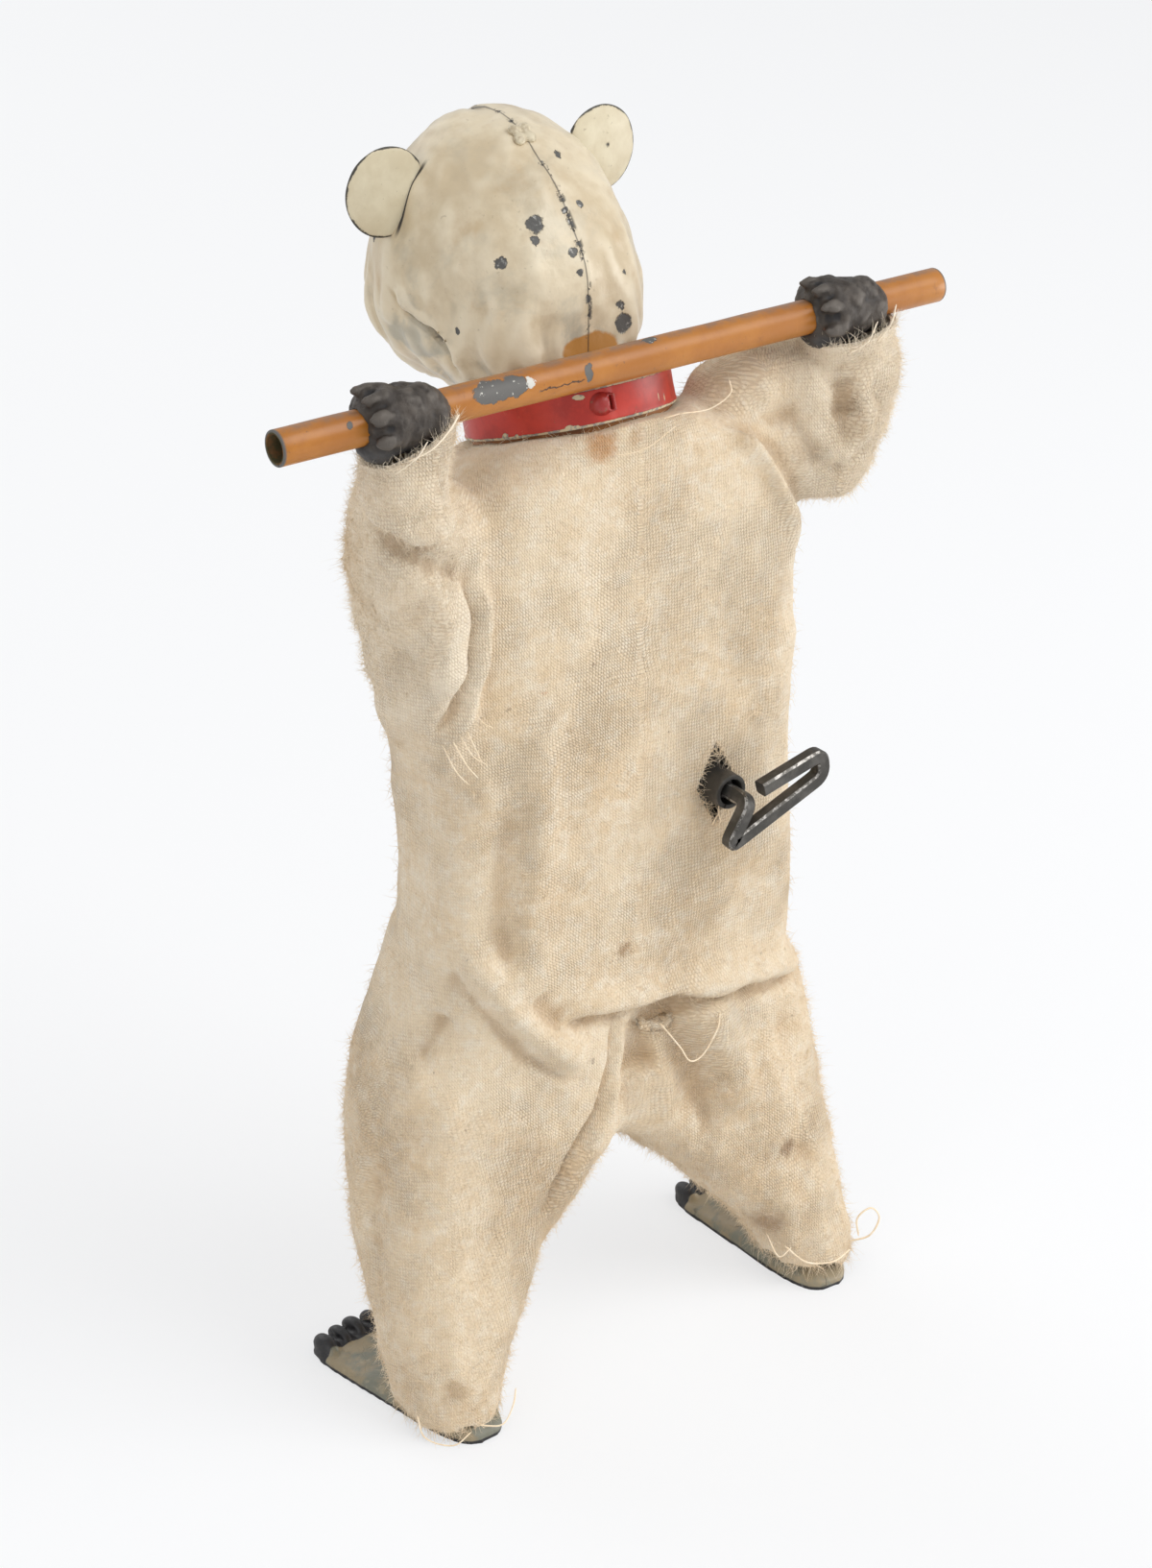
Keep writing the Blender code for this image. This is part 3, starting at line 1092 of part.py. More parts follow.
suit_body()
for label, side, droop, wrist_reach in (("left", 1, SLEEVE_DROOP_LEFT, WRIST_REACH_LEFT),
                                        ("right", -1, SLEEVE_DROOP_RIGHT, WRIST_REACH_RIGHT)):
    trouser_leg("trouser_leg_" + label, side)
    sleeve("sleeve_" + label, side, droop, wrist_reach)
    foot("foot_" + label, side)
    leg_wire("leg_wire_" + label, side)
    leg_lever("leg_lever_" + label, side)
    head_half("head_half_" + label, side)
    ear("ear_" + label, side)
    eye("eye_" + label, side)
    paw("paw_" + label, side)
    arm_wire("arm_wire_" + label, side)
    side_plate("side_plate_" + label, side)
neck_cup()
collar()
collar_stud()
nose()
crown_tab()
pole()
cross_plate("front_plate", FRAME_FRONT - PLATE / 2, ARBOR_RADIUS + GAP, [(KEY_X, KEY_Z)])
cross_plate("back_plate", FRAME_BACK + PLATE / 2, ARBOR_RADIUS + GAP, [(KEY_X, KEY_Z)])
pillars()
across_axle("hip_axle", HIP_Y, HIP_Z, HIP_AXLE_RADIUS, LEVER_X + PLATE + GAP)
across_axle("shoulder_axle", SHOULDER_Y, SHOULDER_Z, SHOULDER_AXLE_RADIUS,
            SIDE_PLATE_X + PLATE + 2 * GAP + 1.6 * ARM_WIRE_RADIUS)
neck_bridge()
winding_arbor()
key_sleeve()
key()
train()
crankshaft()
mainspring()
ratchet_and_click()

for label in ("left", "right"):
    hang("hip_joint_" + label, (0, HIP_Y, HIP_Z),
         [piece + label for piece in ("trouser_leg_", "foot_", "leg_wire_", "leg_lever_")])
hang("shoulder_joint", (0, SHOULDER_Y, SHOULDER_Z),
     ["pole"] + [piece + label for piece in ("paw_", "arm_wire_", "sleeve_") for label in ("left", "right")])
hang("winding_joint", (KEY_X, GREAT_WHEEL_Y, KEY_Z), ["key", "key_sleeve", "winding_arbor", "ratchet_wheel"])
hang("great_wheel_joint", (KEY_X, GREAT_WHEEL_Y, KEY_Z), ["great_wheel", "click", "click_spring"])
hang("second_joint", (SECOND_X, GREAT_WHEEL_Y, SECOND_Z), ["second_pinion", "crown_wheel"])
hang("crank_joint", (0, CRANK_Y, CRANK_Z),
     ["crankshaft", "crank_pinion", "flywheel", "crank_left", "crank_right"])

toy = bpy.data.objects.new("bear", None)
toy.location = (0, SET_BACK, 0)
toy.empty_display_size = LEG_OUTER_REACH
for piece in list(model.objects) + list(cutters.objects):
    if piece.parent is None:
        piece.parent = toy
model.objects.link(toy)
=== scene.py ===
import bmesh
import bpy
import math
import numpy as np
from mathutils import Matrix, Vector, noise


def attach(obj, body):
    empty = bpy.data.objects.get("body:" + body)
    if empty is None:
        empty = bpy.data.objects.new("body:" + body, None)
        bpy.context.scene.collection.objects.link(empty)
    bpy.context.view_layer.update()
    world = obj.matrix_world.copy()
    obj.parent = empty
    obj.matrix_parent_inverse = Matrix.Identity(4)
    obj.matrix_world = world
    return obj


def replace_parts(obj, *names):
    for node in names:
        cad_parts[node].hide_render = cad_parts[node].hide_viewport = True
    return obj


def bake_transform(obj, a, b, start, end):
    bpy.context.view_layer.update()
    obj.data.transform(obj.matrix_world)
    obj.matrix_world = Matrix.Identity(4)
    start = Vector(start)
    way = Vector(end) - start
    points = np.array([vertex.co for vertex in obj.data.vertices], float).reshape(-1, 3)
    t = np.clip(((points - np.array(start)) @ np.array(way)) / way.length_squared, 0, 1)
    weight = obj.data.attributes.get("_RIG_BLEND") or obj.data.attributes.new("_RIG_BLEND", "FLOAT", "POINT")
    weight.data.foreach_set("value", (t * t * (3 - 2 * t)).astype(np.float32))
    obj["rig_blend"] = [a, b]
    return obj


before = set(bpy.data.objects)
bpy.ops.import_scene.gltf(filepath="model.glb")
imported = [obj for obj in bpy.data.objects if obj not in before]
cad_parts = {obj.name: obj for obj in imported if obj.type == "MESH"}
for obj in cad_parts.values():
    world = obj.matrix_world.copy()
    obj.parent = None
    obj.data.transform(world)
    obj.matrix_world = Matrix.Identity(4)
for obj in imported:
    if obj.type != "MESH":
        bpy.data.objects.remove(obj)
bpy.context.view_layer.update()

MM = 0.001
scene = bpy.context.scene
scene.view_settings.view_transform = "Standard"

# Camera of the photograph: behind the toy and to its left, looking down on it from about twice its height.
def put(name, data):
    """A new object of the scene that holds the data."""
    made = bpy.data.objects.new(name, data)
    scene.collection.objects.link(made)
    return made


place, aim, roll = Vector((0.27969, 0.39229, 0.33199)), Vector((0.0, 0.0115, 0.09410)), math.radians(0.17)
camera = put("camera", bpy.data.cameras.new("camera"))
camera.location = place
facing = (aim - place).to_track_quat("-Z", "Y").to_matrix()
camera.rotation_euler = (facing @ Matrix.Rotation(roll, 3, "Z")).to_euler()
camera.data.sensor_width, camera.data.lens = 36.0, 78.58
camera.data.clip_start, camera.data.clip_end = 0.01, 20.0
scene.camera = camera

# Soft studio light: a wide key from the right of the view and above, a low one beside the toy on the same
# side, a weaker one from the left, and a pale room.
for name, where, wide, power in (("key_light", (-0.55, 0.75, 1.05), 0.9, 8.6),
                                 ("side_light", (-0.55, 0.33, 0.15), 0.25, 1.15),
                                 ("fill_light", (1.1, 0.35, 0.55), 0.9, 2.6),
                                 ("front_light", (0.1, -1.1, 0.8), 0.9, 3.0)):
    lamp = bpy.data.lights.new(name, "AREA")
    lamp.energy, lamp.size = power, wide
    holder = put(name, lamp)
    holder.location = where
    holder.rotation_euler = (Vector((0, 0.0115, 0.09)) - Vector(where)).to_track_quat("-Z", "Y").to_euler()


class Field:
    """A socket of a material's nodes; sums and products of fields add their Math nodes."""

    def __init__(self, nodes, socket):
        self.nodes, self.socket = nodes, socket

    def node(self, kind, settings=None, **inputs):
        """Any node: its settings, then the values or links of its sockets, where s0 is the first one."""
        made = self.nodes.new(kind)
        for key, value in (settings or {}).items():
            if key == "stops":
                ramp = made.color_ramp
                while len(ramp.elements) < len(value):
                    ramp.elements.new(0.5)
                for stop, (position, shade) in zip(ramp.elements, value):
                    stop.position, stop.color = position, (*shade, 1.0)
            else:
                setattr(made, key, value)
        for key, value in inputs.items():
            by_number = key[0] == "s" and key[1:].isdigit()
            socket = made.inputs[int(key[1:]) if by_number else key.replace("_", " ")]
            if isinstance(value, Field):
                self.nodes.id_data.links.new(value.socket, socket)
            elif value is not None:
                socket.default_value = (*value, 1.0) if socket.type == "RGBA" and len(value) == 3 else value
        return Field(self.nodes, made.outputs[0])

    def out(self, name):
        return Field(self.nodes, self.socket.node.outputs[name])

    def maths(self, operation, *values):
        return self.node("ShaderNodeMath", {"operation": operation},
                         **{f"s{i}": v for i, v in enumerate(values)})

    def vector(self, operation, *values):
        return self.node("ShaderNodeVectorMath", {"operation": operation},
                         **{f"s{i}": v for i, v in enumerate(values)})

    def __add__(self, other): return self.maths("ADD", self, other)
    def __radd__(self, other): return self.maths("ADD", other, self)
    def __sub__(self, other): return self.maths("SUBTRACT", self, other)
    def __rsub__(self, other): return self.maths("SUBTRACT", other, self)
    def __mul__(self, other): return self.maths("MULTIPLY", self, other)
    def __rmul__(self, other): return self.maths("MULTIPLY", other, self)
    def __truediv__(self, other): return self.maths("DIVIDE", self, other)
    def __pow__(self, other): return self.maths("POWER", self, other)
    def __abs__(self): return self.maths("ABSOLUTE", self)

    def sine(self):
        return self.maths("SINE", self)

    def most(self, *others):
        """The largest of these values, place by place."""
        made = self
        for other in others:
            made = made.maths("MAXIMUM", made, other)
        return made

    def between(self, low, high):
        """0 below low, 1 above high and smooth between them; turned round where low is above high."""
        if low > high:
            return 1.0 - self.between(high, low)
        return self.node("ShaderNodeMapRange", {"interpolation_type": "SMOOTHSTEP"},
                         Value=self, From_Min=low, From_Max=high)

    def mix(self, other, amount):
        """This colour, or colour values, turning to another by amount."""
        made = self.node("ShaderNodeMix", {"data_type": "RGBA"}, s0=amount)
        made = made.socket.node
        for slot, value in ((6, self), (7, other)):
            if isinstance(value, Field):
                self.nodes.id_data.links.new(value.socket, made.inputs[slot])
            else:
                made.inputs[slot].default_value = (*value, 1.0)
        return Field(self.nodes, made.outputs[2])

    def axis(self, letter):
        return self.node("ShaderNodeSeparateXYZ", None, Vector=self).out(letter)


class Finish:
    """One material: its Principled shader, the place on the piece, and the patterns that are read there."""

    def __init__(self, name, **shader):
        self.material = bpy.data.materials.new(name)
        self.material.use_nodes = True
        self.tree = self.material.node_tree
        self.shader = self.tree.nodes["Principled BSDF"]
        self.set(**shader)
        coordinates = self.tree.nodes.new("ShaderNodeTexCoord")
        self.place = Field(self.tree.nodes, coordinates.outputs["Object"])

    def set(self, **values):
        for key, value in values.items():
            socket = self.shader.inputs[key.replace("_", " ")]
            if isinstance(value, Field):
                self.tree.links.new(value.socket, socket)
            else:
                socket.default_value = (*value, 1.0) if socket.type == "RGBA" else value

    def colour(self, shade):
        made = self.tree.nodes.new("ShaderNodeRGB")
        made.outputs[0].default_value = (*shade, 1.0)
        return Field(self.tree.nodes, made.outputs[0])

    def noise(self, size, detail=3.0, rough=0.55, warp=0.0, at=None, stretch=None):
        """Noise with blots of that size, in metres."""
        at = at or self.place
        if stretch:
            at = at.node("ShaderNodeMapping", None, Vector=at, Scale=stretch)
        return at.node("ShaderNodeTexNoise", None, Vector=at, Scale=1.0 / size, Detail=detail,
                       Roughness=rough, Distortion=warp)

    def mottled(self, shade, other, size, detail, rough, low, high):
        """One colour with blots of another."""
        return self.colour(shade).mix(other, self.noise(size, detail, rough).between(low, high))

    def attribute(self, name):
        made = self.tree.nodes.new("ShaderNodeAttribute")
        made.attribute_name = name
        return Field(self.tree.nodes, made.outputs["Fac"])

    def spot(self, centre, radius, ragged=0.0, size=0.002, squeeze=(1, 1, 1), soft=0.18):
        """1 inside a blot round a place and 0 outside it, with a ragged edge that is soft over that share."""
        away = self.place.vector("SUBTRACT", self.place, centre)
        away = away.vector("MULTIPLY", away, squeeze)
        reach = away.vector("LENGTH", away).out("Value")
        if ragged:
            reach = reach + (self.noise(size, 4.0, 0.65) - 0.5) * (ragged * 2.0)
        return reach.between(radius, radius * (1 - soft))

    def bump(self, height, depth):
        """Height of 0 to 1 as a relief of that depth, in metres."""
        return height.node("ShaderNodeBump", None, Height=height, Distance=depth, Strength=1.0)


# Floor: a white paper sweep under soft light, drawn pale for the camera, which keeps the toy's shadow.
floor_shape = bmesh.new()
bmesh.ops.create_grid(floor_shape, x_segments=8, y_segments=8, size=4.0)
floor_mesh = bpy.data.meshes.new("floor")
floor_shape.to_mesh(floor_mesh)
floor = put("floor", floor_mesh)
paper = Finish("paper", Base_Color=(0.86, 0.865, 0.87), Roughness=0.9, Specular_IOR_Level=0.1)
light_path = paper.tree.nodes.new("ShaderNodeLightPath")
seen = Field(paper.tree.nodes, light_path.outputs["Is Camera Ray"])
glow = seen.node("ShaderNodeEmission", None, Color=(0.985, 0.99, 1.0), Strength=1.0)
lit = Field(paper.tree.nodes, paper.shader.outputs[0])
blend = seen.node("ShaderNodeMixShader", None, s0=seen * 0.62, s1=lit, s2=glow)
paper.tree.links.new(blend.socket, paper.tree.nodes["Material Output"].inputs["Surface"])
floor_mesh.materials.append(paper.material)

room = bpy.data.worlds.new("room")
scene.world = room
room.use_nodes = True
sky = room.node_tree.nodes["Background"]
sky.inputs["Color"].default_value, sky.inputs["Strength"].default_value = (0.97, 0.98, 1.0, 1.0), 0.62


# Flannel suit: one cream brushed-cotton cover over the motor, with a sack body, loose trouser legs and wide
# sleeves, cut and sewn flat and then pulled on, so it hangs in soft rolls. Made as bags that are run
# together, then creased along the folds that show, and cut at the neck, cuffs, hems and key slit.
CLOTH = 0.0008
LEAN = math.radians(18)


def rounded(angle, half_x, half_y, square):
    """A point on a rounded oblong; square above 2 fills its corners."""
    c, s = math.cos(angle), math.sin(angle)
    reach = (abs(c) ** square + abs(s) ** square) ** (-1 / square)
    return half_x * c * reach, half_y * s * reach


def bag(shape, rings):
    """Closed bag through rings of points, grown ring by ring."""
    ring = bmesh.ops.create_circle(shape, segments=len(rings[0]), radius=1.0)["verts"]
    edges = list(dict.fromkeys(edge for vert in ring for edge in vert.link_edges))
    for vert, point in zip(ring, rings[0]):
        vert.co = point
    bmesh.ops.contextual_create(shape, geom=edges)
    for points in rings[1:]:
        order = {tuple(round(c, 7) for c in vert.co): i for i, vert in enumerate(ring)}
        grown = bmesh.ops.extrude_edge_only(shape, edges=edges)["geom"]
        ring = sorted((g for g in grown if isinstance(g, bmesh.types.BMVert)),
                      key=lambda vert: order[tuple(round(c, 7) for c in vert.co)])
        edges = [g for g in grown if isinstance(g, bmesh.types.BMEdge)]
        for vert, point in zip(ring, points):
            vert.co = point
    bmesh.ops.contextual_create(shape, geom=edges)


def torso_rings():
    """Sack body: round belly, flat back, slack at the left waist, shoulders closing on the leaning neck."""
    # height, reach to the left, reach to the right, belly, back, share of the neck's lean
    rows = [(57.0, 26.0, 27.0, 11.0, 13.0, 0), (60.0, 31.8, 32.0, 14.0, 15.4, 0),
            (64.0, 33.4, 33.5, 15.6, 16.0, 0), (72.0, 33.0, 33.3, 16.6, 16.3, 0),
            (80.0, 32.2, 33.0, 17.0, 16.3, 0), (86.0, 31.6, 32.6, 17.2, 16.4, 0),
            (92.0, 31.5, 32.4, 17.4, 16.4, 0), (98.0, 31.6, 32.4, 17.6, 16.4, 0),
            (110.0, 32.4, 32.6, 17.6, 16.3, 0), (124.0, 32.0, 32.4, 17.6, 16.2, 0),
            (136.0, 31.6, 32.0, 17.6, 16.0, 0.1), (143.0, 30.0, 30.4, 17.8, 15.8, 0.3),
            (148.0, 26.0, 27.0, 18.0, 15.8, 0.6), (151.2, 20.5, 21.5, 18.0, 16.0, 0.9),
            (153.0, 16.2, 16.6, 16.6, 16.2, 1.0)]
    rings = []
    for height, left, right, belly, back, lean in rows:
        ring = []
        for i in range(48):
            angle = math.tau * i / 48
            behind, side = math.sin(angle) > 0, math.cos(angle) > 0
            if height > 150:
                square = 2.1
            elif behind:
                square = 5.0 if side else 9.0
            else:
                square = 1.78 if side and 76 < height < 96 else 2.05
            x, y = rounded(angle, left if side else right, back if behind else belly, square)
            ring.append((x * MM, (y + 11.5) * MM, (height + math.tan(LEAN) * lean * (y + 1.5)) * MM))
        rings.append(ring)
    return rings


def leg_rings(side):
    """Trouser leg: wide at the seat, bent outwards round the crotch arch, and gathered in at the hem."""
    # height, outward reach, inward reach, middle of the depth, half the depth
    rows = [(0.5, 43.2, 29.5, 27.6, 8.0), (5.0, 44.2, 28.2, 26.4, 8.6), (10.0, 44.6, 25.0, 24.6, 9.4),
            (18.0, 44.6, 19.0, 21.6, 10.4), (26.0, 44.6, 12.5, 18.6, 11.6), (32.0, 44.4, 4.5, 16.6, 12.8),
            (38.0, 43.8, -3.0, 15.0, 14.0), (48.0, 42.4, -6.0, 13.2, 15.0), (58.0, 39.6, -7.0, 12.4, 15.6),
            (68.0, 35.6, -7.0, 12.0, 15.2), (78.0, 31.4, -6.0, 12.0, 13.6)]
    rings = []
    for height, far, near, middle, depth in rows:
        if side < 0:
            far, middle = far - 0.8, middle + 0.5
        ring = [rounded(math.tau * i / 40, (far - near) / 2, depth, 2.5) for i in range(40)]
        rings.append([(side * ((far + near) / 2 + x) * MM, (middle + y) * MM, height * MM) for x, y in ring])
    return rings


def ball(shape, middle, halves, place=Matrix(), fine=3):
    """A ball round its middle, stretched to its three half widths, in millimetres."""
    middle, halves = [c * MM for c in middle], [c * MM for c in halves]
    bmesh.ops.create_icosphere(shape, subdivisions=fine, radius=1.0,
                               matrix=place @ Matrix.Translation(middle) @ Matrix.Diagonal((*halves, 1)))


suit_shape = bmesh.new()
bag(suit_shape, torso_rings())
for side in (1, -1):
    bag(suit_shape, leg_rings(side))
# Sleeves as runs of round bellies: the left one hangs in a slack bag, the right one is bunched up on the arm
left_run = [(38.6, 24.5, 164.4, 7.6, 6.3, 7.0), (38.8, 23.6, 156.0, 6.6, 7.0, 9.0),
            (37.6, 21.6, 150.0, 7.6, 8.4, 9.5), (35.6, 19.4, 143.5, 8.6, 9.6, 9.5),
            (34.0, 18.8, 136.0, 8.8, 9.9, 9.5), (32.6, 18.4, 128.0, 8.4, 9.8, 9.5),
            (32.0, 18.6, 120.5, 7.6, 9.0, 9.0), (31.8, 19.2, 114.4, 5.6, 7.2, 6.6),
            (30.0, 18.0, 145.0, 7.6, 9.0, 9.0), (29.0, 18.5, 135.0, 6.0, 8.6, 9.5),
            (28.2, 14.0, 137.6, 4.2, 6.6, 6.8)]
right_run = [(-40.6, 24.5, 164.4, 8.0, 6.3, 7.0), (-42.4, 23.4, 156.5, 7.4, 7.2, 9.0),
             (-41.6, 21.6, 150.5, 8.4, 8.6, 9.0), (-38.8, 19.8, 145.8, 9.4, 9.8, 9.5),
             (-33.5, 19.0, 146.4, 9.2, 10.0, 9.5), (-28.5, 18.5, 145.5, 8.6, 9.2, 9.0),
             (-35.5, 22.4, 150.5, 7.0, 7.2, 9.0), (-22.6, 17.6, 154.2, 5.6, 7.2, 6.2),
             (-26.6, 18.6, 156.2, 6.4, 7.2, 6.0), (-32.0, 19.6, 155.6, 6.6, 7.2, 6.0),
             (-37.0, 21.4, 156.6, 5.6, 6.6, 5.0), (-30.8, 14.2, 139.4, 5.9, 7.6, 8.4),
             (-36.0, 15.2, 142.2, 5.2, 7.0, 7.6)]
for belly in left_run + right_run:
    ball(suit_shape, belly[:3], belly[3:])


def settled_mesh(holder):
    """The mesh of an object with its modifiers applied; the object goes."""
    bpy.context.view_layer.update()
    mesh = bpy.data.meshes.new_from_object(holder.evaluated_get(bpy.context.evaluated_depsgraph_get()))
    bpy.data.objects.remove(holder)
    return mesh


class Skin:
    """The outside of overlapping bags, run together into one mesh and worked like clay, in millimetres."""

    def __init__(self, name, shape, voxel, rounds):
        mesh = bpy.data.meshes.new(name)
        shape.to_mesh(mesh)
        shape.free()
        holder = put(name, mesh)
        remesh = holder.modifiers.new("run_together", "REMESH")
        remesh.mode, remesh.voxel_size, remesh.adaptivity = "VOXEL", voxel, 0.0
        settled = holder.modifiers.new("settled", "SMOOTH")
        settled.factor, settled.iterations = 0.6, rounds
        self.mesh = settled_mesh(holder)
        self.count = len(self.mesh.vertices)
        points = np.zeros(self.count * 3)
        self.mesh.vertices.foreach_get("co", points)
        self.points = points.reshape(-1, 3) / MM
        pairs = np.zeros(len(self.mesh.edges) * 2, int)
        self.mesh.edges.foreach_get("vertices", pairs)
        self.pairs = pairs.reshape(-1, 2)

    def evened(self, rounds):
        """Places on the skin, averaged with their neighbours that many times."""
        a, b, values = self.pairs[:, 0], self.pairs[:, 1], self.points
        degree = np.maximum(np.bincount(self.pairs.ravel(), minlength=self.count), 1)[:, None]
        for _ in range(rounds):
            total = np.stack([np.bincount(a, values[b, k], self.count)
                              + np.bincount(b, values[a, k], self.count) for k in range(3)], 1)
            values = 0.35 * values + 0.65 * total / degree
        return values

    def facing(self):
        """Outward directions of the skin where it is now."""
        self.mesh.vertices.foreach_set("co", (self.points * MM).ravel())
        self.mesh.update()
        normals = np.zeros(self.count * 3)
        self.mesh.vertices.foreach_get("normal", normals)
        return normals.reshape(-1, 3)

    def crease(self, path, width, height, lip=0.0):
        """Raises or sinks the skin along a path; lip puts a sharper dip beside it, on the right side."""
        path, normals = np.array(path, float), self.facing()
        reach = np.full(self.count, 1e9)
        aside, share = np.zeros(self.count), np.zeros(self.count)
        for i in range(len(path) - 1):
            a, along = path[i], path[i + 1] - path[i]
            t = np.clip((self.points - a) @ along / (along @ along), 0, 1)
            away = self.points - a - t[:, None] * along
            near = np.linalg.norm(away, axis=1)
            closer = near < reach
            reach[closer] = near[closer]
            side = np.einsum("ij,ij->i", np.cross(along, normals), away) / np.linalg.norm(along)
            aside[closer] = side[closer]
            share[closer] = ((i + t) / (len(path) - 1))[closer]
        ends = 0.15 + 0.85 * np.clip(np.minimum(share, 1 - share) / 0.16, 0, 1) ** 0.8
        off = np.exp(-(np.maximum(reach ** 2 - aside ** 2, 0) / (width * 1.4) ** 2))
        rise = height * np.exp(-((aside / width) ** 2))
        if lip:
            rise -= lip * np.exp(-(((aside - width * 0.95) / (width * 0.42)) ** 2))
        self.points = self.points + normals * (rise * off * ends)[:, None]

    def lumps(self, height_at):
        """Moves the skin out by a height worked out from each place on it."""
        normals = self.facing()
        self.points = self.points + normals * np.array([height_at(*place) for place in self.points])[:, None]

    def keep(self):
        """The worked skin as a shape, with shading directions and hollows, 0 on a crest to 1 in a fold."""
        normals = self.facing()
        hollow = np.clip(0.5 + 0.55 * np.einsum("ij,ij->i", self.evened(26) - self.points, normals), 0, 1)
        self.mesh.attributes.new("hollow", "FLOAT", "POINT").data.foreach_set("value", hollow)
        self.mesh.attributes.new("true_normal", "FLOAT_VECTOR",
                                 "POINT").data.foreach_set("vector", normals.ravel())
        shape = bmesh.new()
        shape.from_mesh(self.mesh)
        return shape


suit_skin = Skin("suit_base", suit_shape, 0.0009, 14)

